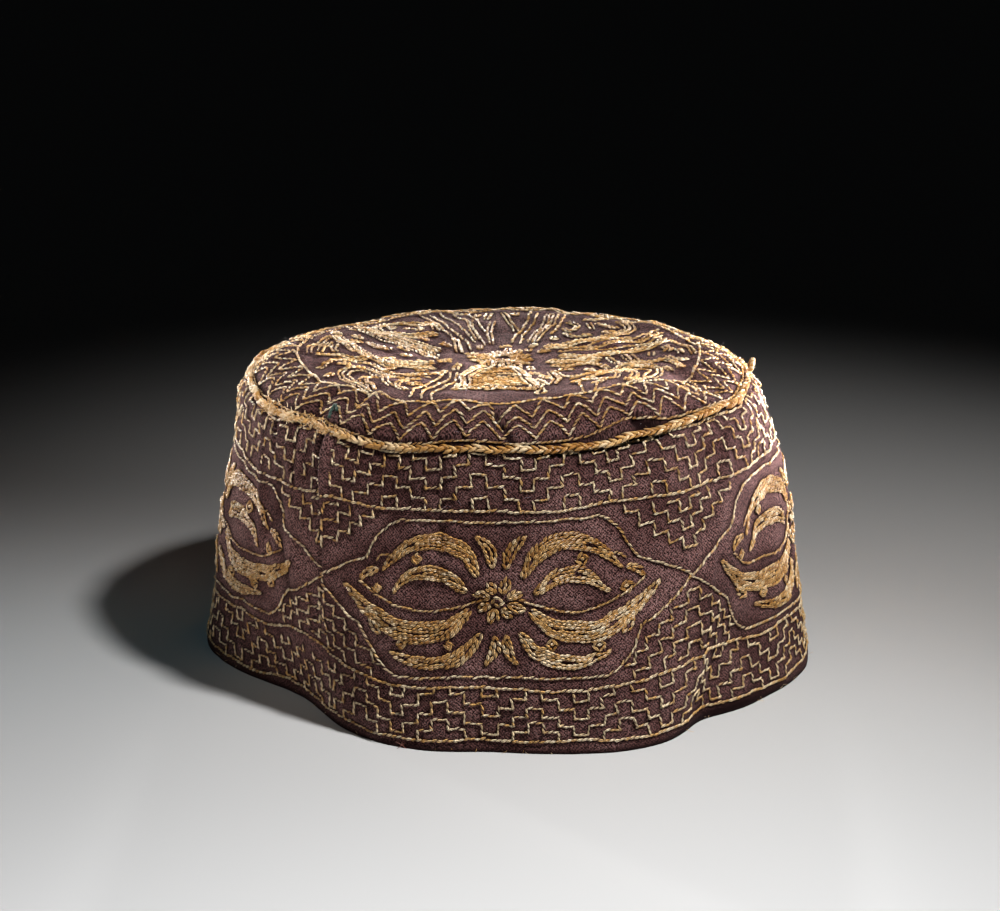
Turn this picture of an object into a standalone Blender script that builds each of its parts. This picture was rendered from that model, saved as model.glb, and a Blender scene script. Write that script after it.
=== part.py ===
"""A soft round cotton cap: a flared side band, a low domed crown, and a plaited cord over their seam.

The cap stands on its rim, open below, with its front towards -Y. Metres, +Z up. Angles go round
the cap in degrees: 0 at the front, +90 at the right (+X), 180 at the back.
"""
import math
from collections import namedtuple

import bmesh
import bpy
from mathutils import Vector

CLOTH = 0.0018           # two layers of cotton and the stitching between them
SEAM_HEIGHT = 0.0885     # the seam between band and crown, above the rim
HEM_EDGE = 0.0015        # the rim's last stretch, which hangs straight down
BRAID_RADIUS = 0.0015
LOOP_RADIUS = 0.0007
GAP = 0.0003             # left between pieces that touch

BAND_COLUMNS = 100
BAND_ROWS = 14
CROWN_COLUMNS = 96
CROWN_RINGS = 10
BRAID_POINTS = 80
LOOP_POINTS = 14

# Half widths of the band's outer face, from the middle of the cap to each side
Section = namedtuple("Section", "name height left right front back")
BAND_SECTIONS = (
    Section("hem", 0.0, 0.0940, 0.0970, 0.0850, 0.0880),
    Section("skirt", 0.0240, 0.0905, 0.0930, 0.0830, 0.0860),
    Section("waist", 0.0470, 0.0870, 0.0890, 0.0805, 0.0825),
    Section("high", 0.0680, 0.0828, 0.0848, 0.0780, 0.0795),
    Section("shoulder", 0.0810, 0.0805, 0.0805, 0.0768, 0.0778),
    Section("turn in", 0.0862, 0.0785, 0.0780, 0.0758, 0.0768),
    Section("seam", SEAM_HEIGHT, 0.0757, 0.0747, 0.0742, 0.0750),
)

# Soft folds that run up the band: where each lies at hem and seam, and how far it moves the cloth
Fold = namedtuple("Fold", "name hem_angle seam_angle width hem waist seam")
BAND_FOLDS = (
    Fold("left hollow", -58, -66, 26, -0.0200, -0.0070, -0.0005),
    Fold("left lobe", -104, -98, 14, 0.0030, 0.0010, 0.0),
    Fold("left tuck", -41, -47, 4, 0.0, -0.0022, -0.0020),
    Fold("front dip", -2, -4, 12, -0.0030, -0.0005, 0.0),
    Fold("front lobe", 26, 30, 12, 0.0020, 0.0010, 0.0),
    Fold("right crease", 45, 78, 9, -0.0065, -0.0030, -0.0008),
    Fold("right hollow", 62, 70, 14, -0.0050, -0.0010, 0.0),
    Fold("back right lobe", 132, 134, 15, 0.0020, 0.0008, 0.0),
    Fold("back hollow", 172, 168, 18, -0.0045, -0.0015, 0.0),
    Fold("back left lobe", -150, -152, 16, 0.0025, 0.0010, 0.0),
)

# Small dents and swells of the band
Dent = namedtuple("Dent", "name angle height width tall push")
BAND_DENTS = (
    Dent("under the braid", 22, 0.0835, 16, 0.0050, -0.0020),
    Dent("below the left corner", -70, 0.0800, 12, 0.0080, -0.0015),
    Dent("right shoulder", 66, 0.0790, 9, 0.0100, 0.0012),
    Dent("front swell", -18, 0.0730, 12, 0.0140, 0.0008),
)

# How the seam rises and dips on its way round
Wave = namedtuple("Wave", "name angle width lift")
SEAM_WAVES = (
    Wave("front left dip", -25, 10, -0.0022),
    Wave("front dip", 10, 12, -0.0010),
    Wave("right front rise", 52, 14, 0.0018),
    Wave("left end", -92, 24, 0.0016),
    Wave("right end", 92, 16, 0.0008),
    Wave("left front dip", -70, 8, -0.0008),
)

# The crown's height above the seam, from its centre (0) to its edge (1)
Ring = namedtuple("Ring", "share rise")
CROWN_PROFILE = (
    Ring(0.0, 0.0062),
    Ring(0.30, 0.0066),
    Ring(0.60, 0.0075),
    Ring(0.84, 0.0077),
    Ring(0.93, 0.0056),
    Ring(0.98, 0.0027),
    Ring(1.0, 0.0),
)
CROWN_EDGE = 0.998       # share of the radius where the crown's cloth ends, just clear of the band
CROWN_TILT = 0.28        # the dome is this share higher at the front than at its middle
CROWN_FLAT = 0.80        # share of the radius inside which the tilt fades out
CROWN_TUCKED = 0.06      # share of the radius beside the edge where folds fade out

CrownFold = namedtuple("CrownFold", "name angle width share reach push")
CROWN_FOLDS = (
    CrownFold("swell beside the pleat", 34, 15, 0.86, 0.22, 0.0020),
    CrownFold("pleat", 62, 12, 0.88, 0.20, -0.0030),
    CrownFold("front notch", 2, 4, 0.90, 0.10, -0.0012),
    CrownFold("left low", -60, 20, 0.80, 0.25, -0.0010),
)

# The loop of cord at the right corner: its feet on the braid, its height and its lean outwards
LOOP_ANGLE = 90.0
LOOP_SPREAD = 0.0034
LOOP_HEIGHT = 0.0062
LOOP_LEAN = 0.0020

PURPLE_BROWN = (0.105, 0.066, 0.068)
GOLD_THREAD = (0.52, 0.36, 0.19)


def turned(angle, middle):
    """The turn from one angle to another, between -180 and 180 degrees."""
    return (angle - middle + 180.0) % 360.0 - 180.0


def hump(offset, width):
    """A smooth hill, 1 at its middle."""
    return math.exp(-(offset / width) ** 2)


def blend(at, places, values):
    """Read a short table as one smooth curve."""
    last = len(places) - 1
    slopes = []
    for i in range(last + 1):
        before = max(i - 1, 0)
        after = min(i + 1, last)
        slopes.append((values[after] - values[before]) / (places[after] - places[before]))
    k = 0
    while k < last - 1 and at > places[k + 1]:
        k += 1
    span = places[k + 1] - places[k]
    t = (at - places[k]) / span
    rest = 1.0 - t
    level = values[k] * (1 + 2 * t) * rest ** 2 + values[k + 1] * (3 - 2 * t) * t ** 2
    lean = slopes[k] * t * rest ** 2 - slopes[k + 1] * rest * t ** 2
    return level + lean * span


def band_point(angle, height):
    """A point on the band's outer face."""
    turn = math.radians(angle)
    heights = [s.height for s in BAND_SECTIONS]
    across = blend(height, heights, [s.right if math.sin(turn) > 0 else s.left for s in BAND_SECTIONS])
    along = blend(height, heights, [s.front if math.cos(turn) > 0 else s.back for s in BAND_SECTIONS])
    radius = 1.0 / math.hypot(math.sin(turn) / across, math.cos(turn) / along)
    share = height / SEAM_HEIGHT
    for fold in BAND_FOLDS:
        middle = fold.hem_angle + (fold.seam_angle - fold.hem_angle) * share
        push = blend(share, (0.0, 0.5, 1.0), (fold.hem, fold.waist, fold.seam))
        radius += push * hump(turned(angle, middle), fold.width)
    for dent in BAND_DENTS:
        radius += dent.push * hump(turned(angle, dent.angle), dent.width) * hump(height - dent.height, dent.tall)
    lift = sum(wave.lift * hump(turned(angle, wave.angle), wave.width) for wave in SEAM_WAVES)
    return Vector((radius * math.sin(turn), -radius * math.cos(turn), height + lift * share ** 2))


def crown_point(angle, share):
    """A point on the crown's outer face, from its centre (0) to the seam (1)."""
    edge = band_point(angle, SEAM_HEIGHT)
    rise = blend(share, [ring.share for ring in CROWN_PROFILE], [ring.rise for ring in CROWN_PROFILE])
    tilt = 1.0 + CROWN_TILT * math.cos(math.radians(angle)) * min(share / CROWN_FLAT, 1.0)
    height = SEAM_HEIGHT + rise * tilt + (edge.z - SEAM_HEIGHT) * share ** 3
    for fold in CROWN_FOLDS:
        near = hump(turned(angle, fold.angle), fold.width) * hump(share - fold.share, fold.reach)
        height += fold.push * near * min((1.0 - share) / CROWN_TUCKED, 1.0)
    return Vector((edge.x * share, edge.y * share, height))


def seam_outwards(angle):
    """The direction that points away from the groove between band and crown."""
    step = 0.5
    along = band_point(angle + step, SEAM_HEIGHT) - band_point(angle - step, SEAM_HEIGHT)
    up_band = band_point(angle, SEAM_HEIGHT) - band_point(angle, SEAM_HEIGHT - 0.002)
    up_crown = crown_point(angle, 0.97) - crown_point(angle, CROWN_EDGE)
    from_band = along.cross(up_band).normalized()
    from_crown = along.cross(up_crown).normalized()
    return (from_band + from_crown).normalized()


def braid_point(angle):
    """The middle of the cord that lies in the groove over the seam."""
    return band_point(angle, SEAM_HEIGHT) + seam_outwards(angle) * (BRAID_RADIUS + 1.6 * GAP)


def material(name, colour, roughness):
    made = bpy.data.materials.new(name)
    made.use_nodes = True
    shader = made.node_tree.nodes["Principled BSDF"]
    shader.inputs["Base Color"].default_value = (*colour, 1.0)
    shader.inputs["Roughness"].default_value = roughness
    return made


def finish(piece, group, colour, roughness):
    """Put a piece in the cap's collection with its own material."""
    piece.data.materials.append(material(piece.name, colour, roughness))
    group.objects.link(piece)
    return piece


def cloth_shell(name, columns, rows, place, group):
    """A sheet of cloth closed into a ring: a grid laid out by place(angle, row), then given its thickness."""
    sheet = bmesh.new()
    bmesh.ops.create_grid(sheet, x_segments=columns, y_segments=rows, size=1.0)
    for vert in sheet.verts:
        angle = 180.0 * vert.co.x
        row = round((vert.co.y + 1.0) / 2.0 * rows)
        vert.co = place(angle, row)
    bmesh.ops.remove_doubles(sheet, verts=sheet.verts, dist=0.00001)
    bmesh.ops.recalc_face_normals(sheet, faces=sheet.faces)
    mesh = bpy.data.meshes.new(name)
    sheet.to_mesh(mesh)
    sheet.free()
    mesh.shade_smooth()
    piece = bpy.data.objects.new(name, mesh)
    wall = piece.modifiers.new("cloth", "SOLIDIFY")
    wall.thickness = CLOTH
    wall.offset = -1.0
    return finish(piece, group, PURPLE_BROWN, 0.95)


def band_row(angle, row):
    """Rows stand closer together towards the shoulder, and the first one makes the rim hang straight."""
    if row <= 1:
        rim = band_point(angle, HEM_EDGE)
        return Vector((rim.x, rim.y, HEM_EDGE * row))
    share = 1.0 - (1.0 - (row - 1) / (BAND_ROWS - 1)) ** 1.5
    return band_point(angle, HEM_EDGE + (SEAM_HEIGHT - HEM_EDGE) * share)


def crown_row(angle, row):
    """Rings stand closer together towards the edge."""
    share = CROWN_EDGE * (1.0 - (row / CROWN_RINGS) ** 1.6)
    return crown_point(angle, share)


def cord(name, points, radius, closed, group):
    """A round cord along a run of points."""
    curve = bpy.data.curves.new(name, "CURVE")
    curve.dimensions = "3D"
    curve.bevel_depth = radius
    curve.bevel_resolution = 2
    curve.use_fill_caps = not closed
    run = curve.splines.new("POLY")
    run.points.add(len(points) - 1)
    for spot, point in zip(run.points, points):
        spot.co = (*point, 1.0)
    run.use_cyclic_u = closed
    run.use_smooth = True
    return finish(bpy.data.objects.new(name, curve), group, GOLD_THREAD, 0.85)


def loop_points():
    """A narrow arch of cord whose two feet stand on the braid."""
    foot = braid_point(LOOP_ANGLE)
    outwards = seam_outwards(LOOP_ANGLE)
    along = (braid_point(LOOP_ANGLE + 1.0) - braid_point(LOOP_ANGLE - 1.0)).normalized()
    up = (outwards + 2.0 * Vector((0.0, 0.0, 1.0))).normalized()
    base = foot + up * (BRAID_RADIUS + GAP)
    points = []
    for i in range(LOOP_POINTS):
        turn = math.pi * i / (LOOP_POINTS - 1)
        side = along * (-0.5 * LOOP_SPREAD * math.cos(turn) * (1.0 + 0.4 * math.sin(turn)))
        lean = outwards * (LOOP_LEAN * math.sin(turn) ** 2)
        points.append(base + side + lean + up * (LOOP_HEIGHT * math.sin(turn)))
    return points


def surface_points(piece, graph):
    """The corners of a piece's surface, with its modifiers or its bevel."""
    shape = piece.evaluated_get(graph)
    points = [vert.co.copy() for vert in shape.to_mesh().vertices]
    shape.to_mesh_clear()
    return points


def stand_on_origin(pieces):
    """Move the pieces together so that the cap's box stands over the origin."""
    bpy.context.view_layer.update()
    graph = bpy.context.evaluated_depsgraph_get()
    points = [point for piece in pieces for point in surface_points(piece, graph)]
    low = [min(point[axis] for point in points) for axis in range(3)]
    high = [max(point[axis] for point in points) for axis in range(3)]
    for piece in pieces:
        piece.location = (-(low[0] + high[0]) / 2.0, -(low[1] + high[1]) / 2.0, -low[2])


for old in list(bpy.data.objects):
    bpy.data.objects.remove(old, do_unlink=True)

cap = bpy.data.collections.new("dervish_hat")
bpy.context.scene.collection.children.link(cap)

braid_angles = [360.0 * i / BRAID_POINTS - 180.0 for i in range(BRAID_POINTS)]
stand_on_origin([
    cloth_shell("side_band", BAND_COLUMNS, BAND_ROWS, band_row, cap),
    cloth_shell("crown", CROWN_COLUMNS, CROWN_RINGS, crown_row, cap),
    cord("seam_braid", [braid_point(angle) for angle in braid_angles], BRAID_RADIUS, True, cap),
    cord("corner_loop", loop_points(), LOOP_RADIUS, False, cap),
])
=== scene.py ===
"""The looks of a soft, round, embroidered dervish hat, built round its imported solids.

Metres, +Z up, the front of the cap towards -Y. Angles go round the cap in degrees: 0 at the
front, +90 at the right (+X). Flat patterns are drawn in millimetres on the cloth laid flat.
"""

import math
from collections import namedtuple

import bpy
import numpy as np
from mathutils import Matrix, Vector, kdtree


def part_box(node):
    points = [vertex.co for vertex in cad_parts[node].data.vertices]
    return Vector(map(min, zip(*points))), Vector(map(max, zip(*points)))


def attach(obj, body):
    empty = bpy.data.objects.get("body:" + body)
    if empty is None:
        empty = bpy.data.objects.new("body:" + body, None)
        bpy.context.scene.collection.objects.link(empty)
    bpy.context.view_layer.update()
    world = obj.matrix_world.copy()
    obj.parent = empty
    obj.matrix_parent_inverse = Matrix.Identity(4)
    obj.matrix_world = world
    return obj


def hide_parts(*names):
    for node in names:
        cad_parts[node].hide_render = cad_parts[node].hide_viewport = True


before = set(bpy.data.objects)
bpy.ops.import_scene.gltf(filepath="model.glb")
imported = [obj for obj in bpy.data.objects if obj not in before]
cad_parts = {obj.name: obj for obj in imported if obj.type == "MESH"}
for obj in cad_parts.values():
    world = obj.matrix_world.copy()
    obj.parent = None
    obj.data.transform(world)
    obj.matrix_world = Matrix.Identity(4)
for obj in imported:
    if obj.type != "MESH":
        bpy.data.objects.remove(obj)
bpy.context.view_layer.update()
MM = 0.001

# The camera stands in front of the cap and looks a little down on it.
EYE = Vector((-0.0017, -0.8191, 0.3128))
LOOK_DOWN = math.radians(16.92)
LENS = 100.0
SENSOR_WIDTH = 36.0
FARTHEST = 20.0


def put(name, data):
    """A new object in the scene."""
    made = bpy.data.objects.new(name, data)
    bpy.context.scene.collection.objects.link(made)
    return made


camera_data = bpy.data.cameras.new("camera")
camera_data.lens = LENS
camera_data.sensor_width = SENSOR_WIDTH
camera_data.clip_end = FARTHEST
camera = put("camera", camera_data)
camera.location = EYE
camera.rotation_euler = (math.pi / 2 - LOOK_DOWN, 0.0, 0.0)
bpy.context.scene.camera = camera
bpy.context.scene.view_settings.view_transform = "Standard"


# A plain pale floor that runs far back, so that it fills the view behind the cap.
FLOOR_SIZE = 9.0
FLOOR_MIDDLE = FLOOR_SIZE * 0.3
FLOOR_FINISH = {
    "Base Color": (0.52, 0.52, 0.52, 1.0),
    "Roughness": 0.55,
}


def new_material(name):
    """A material with an empty node tree but for its shader; returns it, its nodes and its shader."""
    made = bpy.data.materials.new(name)
    made.use_nodes = True
    return made, made.node_tree, made.node_tree.nodes["Principled BSDF"]


def fill_in(shader, values):
    """Set some inputs of a shader."""
    for name, value in values.items():
        shader.inputs[name].default_value = value


floor_paint, _, floor_shader = new_material("floor paint")
fill_in(floor_shader, FLOOR_FINISH)
bpy.ops.mesh.primitive_plane_add(size=FLOOR_SIZE, location=(0.0, FLOOR_MIDDLE, 0.0))
floor = bpy.context.object
floor.name = "floor"
floor.data.materials.append(floor_paint)


# Soft studio lights: two beams from one place high at the front right, a narrow one on the cap and a
# broad one on the floor before it, two faint fills at the left, and four weak narrow ones that graze
# the cap's edges from behind. The room itself is all but dark.
Lamp = namedtuple("Lamp", "name place aim size spread power colour")
LAMPS = (
    Lamp("cap beam", (0.416, -0.416, 0.85), (0.109, 0.003, 0.0), 0.11, 34.0, 0.265, (1.0, 0.98, 0.955)),
    Lamp("floor beam", (0.416, -0.416, 0.85), (-0.074, -0.387, 0.0), 0.11, 54.5, 2.15, (1.0, 1.0, 1.0)),
    Lamp("left fill", (-0.50, -0.50, 0.30), (-0.062, -0.043, 0.052), 0.08, 9.0, 0.011, (1.0, 0.95, 0.90)),
    Lamp("shadow fill", (-0.35, -0.15, 0.45), (-0.13, 0.0, 0.0), 0.10, 22.0, 0.0024, (0.35, 0.80, 1.0)),
    Lamp("left edge", (-0.62, 0.40, 0.09), (-0.02, 0.0, 0.095), 0.08, 10.0, 0.10, (1.0, 0.96, 0.93)),
    Lamp("left back", (-0.50, 0.45, 0.30), (-0.03, 0.0, 0.09), 0.08, 12.0, 0.04, (1.0, 0.96, 0.93)),
    Lamp("back", (0.02, 0.55, 0.32), (0.0, 0.02, 0.10), 0.10, 14.0, 0.05, (1.0, 0.99, 0.98)),
    Lamp("right edge", (0.62, 0.25, 0.11), (0.03, 0.0, 0.09), 0.08, 10.0, 0.18, (1.0, 0.96, 0.97)),
)
for lamp in LAMPS:
    light = bpy.data.lights.new(lamp.name, "AREA")
    light.shape = "DISK"
    light.size = lamp.size
    light.spread = math.radians(lamp.spread)
    light.energy = lamp.power
    light.color = lamp.colour
    holder = put(lamp.name, light)
    holder.location = lamp.place
    holder.rotation_euler = (Vector(lamp.aim) - Vector(lamp.place)).to_track_quat("-Z", "Y").to_euler()

ROOM_LIGHT = {
    "Color": (0.90, 0.96, 1.0, 1.0),
    "Strength": 0.003,
}
world = bpy.data.worlds.new("dim room")
world.use_nodes = True
fill_in(world.node_tree.nodes["Background"], ROOM_LIGHT)
bpy.context.scene.world = world


# The shape of the side band: one strip of double cotton, sewn into a ring that flares down to its
# rim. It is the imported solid's own shape, with the small rumples of worn cloth added to it.
CLOTH = 0.0018
SEAM_HEIGHT = 0.0885
HEM_EDGE = 0.0015

Section = namedtuple("Section", "name height left right front back")
BAND_SECTIONS = (
    Section("hem", 0.0, 0.0940, 0.0970, 0.0850, 0.0880),
    Section("skirt", 0.0240, 0.0905, 0.0930, 0.0830, 0.0860),
    Section("waist", 0.0470, 0.0870, 0.0890, 0.0805, 0.0825),
    Section("high", 0.0680, 0.0828, 0.0848, 0.0780, 0.0795),
    Section("shoulder", 0.0810, 0.0805, 0.0805, 0.0768, 0.0778),
    Section("turn in", 0.0862, 0.0785, 0.0780, 0.0758, 0.0768),
    Section("seam", SEAM_HEIGHT, 0.0757, 0.0747, 0.0742, 0.0750),
)
Fold = namedtuple("Fold", "name hem_angle seam_angle width hem waist seam")
BAND_FOLDS = (
    Fold("left hollow", -58, -66, 26, -0.0200, -0.0070, -0.0005),
    Fold("left lobe", -104, -98, 14, 0.0030, 0.0010, 0.0),
    Fold("left tuck", -41, -47, 4, 0.0, -0.0022, -0.0020),
    Fold("front dip", -2, -4, 12, -0.0030, -0.0005, 0.0),
    Fold("front lobe", 26, 30, 12, 0.0020, 0.0010, 0.0),
    Fold("right crease", 45, 78, 9, -0.0065, -0.0030, -0.0008),
    Fold("right hollow", 62, 70, 14, -0.0050, -0.0010, 0.0),
    Fold("back right lobe", 132, 134, 15, 0.0020, 0.0008, 0.0),
    Fold("back hollow", 172, 168, 18, -0.0045, -0.0015, 0.0),
    Fold("back left lobe", -150, -152, 16, 0.0025, 0.0010, 0.0),
)
Dent = namedtuple("Dent", "name angle height width tall push")
BAND_DENTS = (
    Dent("under the braid", 22, 0.0835, 16, 0.0050, -0.0020),
    Dent("below the left corner", -70, 0.0800, 12, 0.0080, -0.0015),
    Dent("right shoulder", 66, 0.0790, 9, 0.0100, 0.0012),
    Dent("front swell", -18, 0.0730, 12, 0.0140, 0.0008),
)
Wave = namedtuple("Wave", "name angle width lift")
SEAM_WAVES = (
    Wave("front left dip", -25, 10, -0.0022),
    Wave("front dip", 10, 12, -0.0010),
    Wave("right front rise", 52, 14, 0.0018),
    Wave("left end", -92, 24, 0.0016),
    Wave("right end", 92, 16, 0.0008),
    Wave("left front dip", -70, 8, -0.0008),
)


def turned(angle, middle):
    """The turn from one angle to another, between -180 and 180 degrees."""
    return (angle - middle + 180.0) % 360.0 - 180.0


def hump(offset, width):
    """A smooth hill, 1 at its middle."""
    return np.exp(-(np.asarray(offset) / width) ** 2)


def unit(vectors):
    """Vectors brought to length 1."""
    return vectors / np.linalg.norm(vectors, axis=-1, keepdims=True)


def lengths_along(points):
    """How far along a line each of its points lies."""
    steps = np.linalg.norm(np.diff(points, axis=0), axis=1)
    return np.concatenate(([0.0], np.cumsum(steps)))


def smooth_table(at, places, values):
    """Read a short table as one smooth curve."""
    places = np.asarray(places, float)
    values = np.asarray(values, float)
    last = len(places) - 1
    order = np.arange(last + 1)
    before = np.maximum(order - 1, 0)
    after = np.minimum(order + 1, last)
    slopes = (values[after] - values[before]) / (places[after] - places[before])
    k = np.clip(np.searchsorted(places, at) - 1, 0, last - 1)
    span = places[k + 1] - places[k]
    t = (at - places[k]) / span
    rest = 1.0 - t
    level = values[k] * (1 + 2 * t) * rest ** 2 + values[k + 1] * (3 - 2 * t) * t ** 2
    lean = slopes[k] * t * rest ** 2 - slopes[k + 1] * rest * t ** 2
    return level + lean * span


def band_shape(angle, height):
    """The band's outer face, before its small rumples, about the middle of the crown."""
    angle, height = np.broadcast_arrays(np.asarray(angle, float), np.asarray(height, float))
    turn = np.radians(angle)
    sine, cosine = np.sin(turn), np.cos(turn)
    heights = [s.height for s in BAND_SECTIONS]
    right = smooth_table(height, heights, [s.right for s in BAND_SECTIONS])
    left = smooth_table(height, heights, [s.left for s in BAND_SECTIONS])
    front = smooth_table(height, heights, [s.front for s in BAND_SECTIONS])
    back = smooth_table(height, heights, [s.back for s in BAND_SECTIONS])
    across = np.where(sine > 0, right, left)
    along = np.where(cosine > 0, front, back)
    radius = 1.0 / np.hypot(sine / across, cosine / along)
    share = height / SEAM_HEIGHT
    for fold in BAND_FOLDS:
        middle = fold.hem_angle + (fold.seam_angle - fold.hem_angle) * share
        push = smooth_table(share, (0.0, 0.5, 1.0), (fold.hem, fold.waist, fold.seam))
        radius = radius + push * hump(turned(angle, middle), fold.width)
    for dent in BAND_DENTS:
        near = hump(turned(angle, dent.angle), dent.width) * hump(height - dent.height, dent.tall)
        radius = radius + dent.push * near
    lift = sum(wave.lift * hump(turned(angle, wave.angle), wave.width) for wave in SEAM_WAVES)
    return np.stack((radius * sine, -radius * cosine, height + lift * share ** 2), -1)


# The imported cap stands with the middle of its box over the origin
rim = band_shape(np.arange(-180.0, 180.0, 0.5), HEM_EDGE)
band_low, band_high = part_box("side_band")
AXIS = np.array((
    (band_low.x + band_high.x - rim[:, 0].min() - rim[:, 0].max()) / 2.0,
    (band_low.y + band_high.y - rim[:, 1].min() - rim[:, 1].max()) / 2.0,
    0.0,
))

# The band laid flat: millimetres round the cap from its front, and millimetres of slant above the rim
ROUND = 530.0
TABLE_TURNS = np.linspace(-360.0, 360.0, 1441)
TABLE_HEIGHTS = np.linspace(0.0, SEAM_HEIGHT, 60)
TABLE_SHARES = np.linspace(-0.6, 0.6, 1201)


def band_charts():
    """For each height the angle at each share of the way round, and the slant up the front."""
    ground = band_shape(TABLE_TURNS[None, :], TABLE_HEIGHTS[:, None])
    steps = np.linalg.norm(np.diff(ground, axis=1), axis=2)
    walked = np.concatenate((np.zeros((len(ground), 1)), np.cumsum(steps, axis=1)), axis=1)
    middle = len(TABLE_TURNS) // 2
    shares = (walked - walked[:, middle:middle + 1]) / (walked[:, -1:] / 2.0)
    turns = np.array([np.interp(TABLE_SHARES, row, TABLE_TURNS) for row in shares])
    return turns, lengths_along(ground[:, middle]) / MM


TURN_CHART, SLANT_CHART = band_charts()
SLANT = SLANT_CHART[-1]


def turn_and_height(flat):
    """Where a point of the flat band lies on the cap: its angle and its height."""
    height = np.interp(flat[..., 1], SLANT_CHART, TABLE_HEIGHTS)
    row = np.clip(height / SEAM_HEIGHT * (len(TABLE_HEIGHTS) - 1), 0, len(TABLE_HEIGHTS) - 1.001)
    share = (flat[..., 0] / ROUND + 0.5) % 1.0 - 0.5
    column = (share - TABLE_SHARES[0]) / (TABLE_SHARES[1] - TABLE_SHARES[0])
    low_row, left = row.astype(int), column.astype(int)
    up, over = row - low_row, column - left
    below = TURN_CHART[low_row, left] * (1 - over) + TURN_CHART[low_row, left + 1] * over
    above = TURN_CHART[low_row + 1, left] * (1 - over) + TURN_CHART[low_row + 1, left + 1] * over
    return below * (1 - up) + above * up, height


def ripple(points, length, height, seed, waves=16):
    """Soft uneven ground: waves of about one length that cross in every direction."""
    dice = np.random.default_rng(seed)
    ways = unit(dice.normal(size=(waves, 3)))
    ways *= 2.0 * math.pi / (length * dice.uniform(0.7, 1.4, (waves, 1)))
    start = dice.uniform(0.0, 2.0 * math.pi, waves)
    return height * math.sqrt(2.0 / waves) * np.sin(points @ ways.T + start).sum(-1)


Ripple = namedtuple("Ripple", "length height seed")
BAND_RUMPLES = (
    Ripple(0.030, 0.00042, 1),
    Ripple(0.011, 0.00020, 2),
    Ripple(0.0045, 0.00007, 3),
)


def ripples(points, table):
    """Ripples of several lengths, one on top of the other."""
    return sum(ripple(points, row.length, row.height, row.seed) for row in table)


# Sharp creases: ends on the flat cloth in mm, width of the groove, its depth, and the lip beside it
Crease = namedtuple("Crease", "name start end width depth lip")
BAND_CREASES = (
    Crease("left tuck", (-61.8, 92.0), (-58.8, 44.0), 1.3, 3.2, 1.4),
    Crease("left pucker", (-85.5, 92.0), (-84.0, 74.0), 0.9, 1.3, 0.7),
    Crease("second left pucker", (-74.5, 92.0), (-72.5, 70.0), 0.8, 1.4, 0.7),
    Crease("left tuck's foot", (-57.5, 52.0), (-63.0, 24.0), 1.6, 0.5, 0.5),
    Crease("front fold", (-17.6, 90.0), (-17.0, 46.0), 1.1, 0.55, 0.20),
    Crease("right ridge", (84.0, 84.0), (68.3, 54.6), 2.0, -0.9, 0.0),
    Crease("right ridge's foot", (68.3, 56.0), (59.0, 14.0), 2.2, -0.9, 0.0),
    Crease("left ridge", (-96.0, 86.0), (-88.0, 40.0), 2.4, -0.8, 0.0),
    Crease("left hollow", (-82.0, 80.0), (-74.0, 30.0), 3.0, 0.8, 0.3),
    Crease("right back crease", (132.0, 88.0), (120.0, 30.0), 2.2, 0.8, 0.5),
    Crease("back crease", (236.0, 90.0), (241.0, 36.0), 1.6, 0.8, 0.5),
    Crease("left back crease", (-172.0, 90.0), (-180.0, 34.0), 1.8, 0.7, 0.4),
    Crease("gap below the cord", (14.0, 88.6), (58.0, 89.0), 1.6, 2.6, 0.0),
)


def crease_relief(flat, creases):
    """How far sharp creases push the cloth in, or out, in metres."""
    relief = np.zeros(flat.shape[:-1])
    for crease in creases:
        start, end = np.array(crease.start), np.array(crease.end)
        length = np.linalg.norm(end - start)
        way = (end - start) / length
        offset = flat - start
        along = offset @ way
        across = offset[..., 0] * way[1] - offset[..., 1] * way[0]
        inside = np.clip(np.minimum(along, length - along) / (0.18 * length) + 0.3, 0.0, 1.0)
        inside = inside * inside * (3 - 2 * inside)
        groove = -crease.depth * hump(across, crease.width)
        lip = crease.lip * hump(across + 2.6 * crease.width, 2.0 * crease.width)
        relief += (groove + lip) * inside * MM
    return relief


def normals_of(along, up):
    """Unit normals from two directions in the cloth."""
    return unit(np.cross(along, up))


TURN_STEP = 0.4
HEIGHT_STEP = 0.0006
LEVEL_HEM = 0.003
CALM_HEM = 0.006
LEAST_RUMPLE = 0.25


def band_face(flat, lift=0.0):
    """Points and normals of the band's outer face from places on the flat band; lift is in metres."""
    angle, height = turn_and_height(flat)
    held = np.maximum(height, HEM_EDGE)
    ground = band_shape(angle, held)
    along = band_shape(angle + TURN_STEP, held) - band_shape(angle - TURN_STEP, held)
    up = band_shape(angle, held + HEIGHT_STEP) - band_shape(angle, held - HEIGHT_STEP)
    normals = normals_of(along, up)
    normals[..., 2] *= np.clip(height / LEVEL_HEM, 0.0, 1.0)
    normals = unit(normals)
    ground[..., 2] -= held - height
    calm = np.clip(height / CALM_HEM, LEAST_RUMPLE, 1.0)
    relief = ripples(ground, BAND_RUMPLES) * calm + crease_relief(flat, BAND_CREASES) + lift
    return ground + normals * relief[..., None] + AXIS, normals


# The pattern drawn on the band, which the stitches follow: stepped lines in two borders, four long
# cartouches between them, and stepped wedges where two cartouches meet.
Run = namedtuple("Run", "points width shade slant", defaults=(1.0,))
LINE_WIDTH = 0.60
FILL_WIDTH = 0.96

Border = namedtuple("Border", "name repeats first_peak tops low high")
UPPER_BORDER = Border("upper", 19, -6.0, (75.0, 81.1, 87.1, 92.8, 98.5), 71.4, 87.6)
LOWER_BORDER = Border("lower", 21, 9.3, (9.6, 14.8, 20.6, 26.4), 3.6, 19.4)
RISE = 3.3

BOTTOM_LINE = 3.2
LOWER_LINE = 19.8
UPPER_LINE = 70.9
NECK_LINE = 88.0
CARTOUCHE_MIDDLE = 45.6
CARTOUCHE_TIP = 58.0
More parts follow.
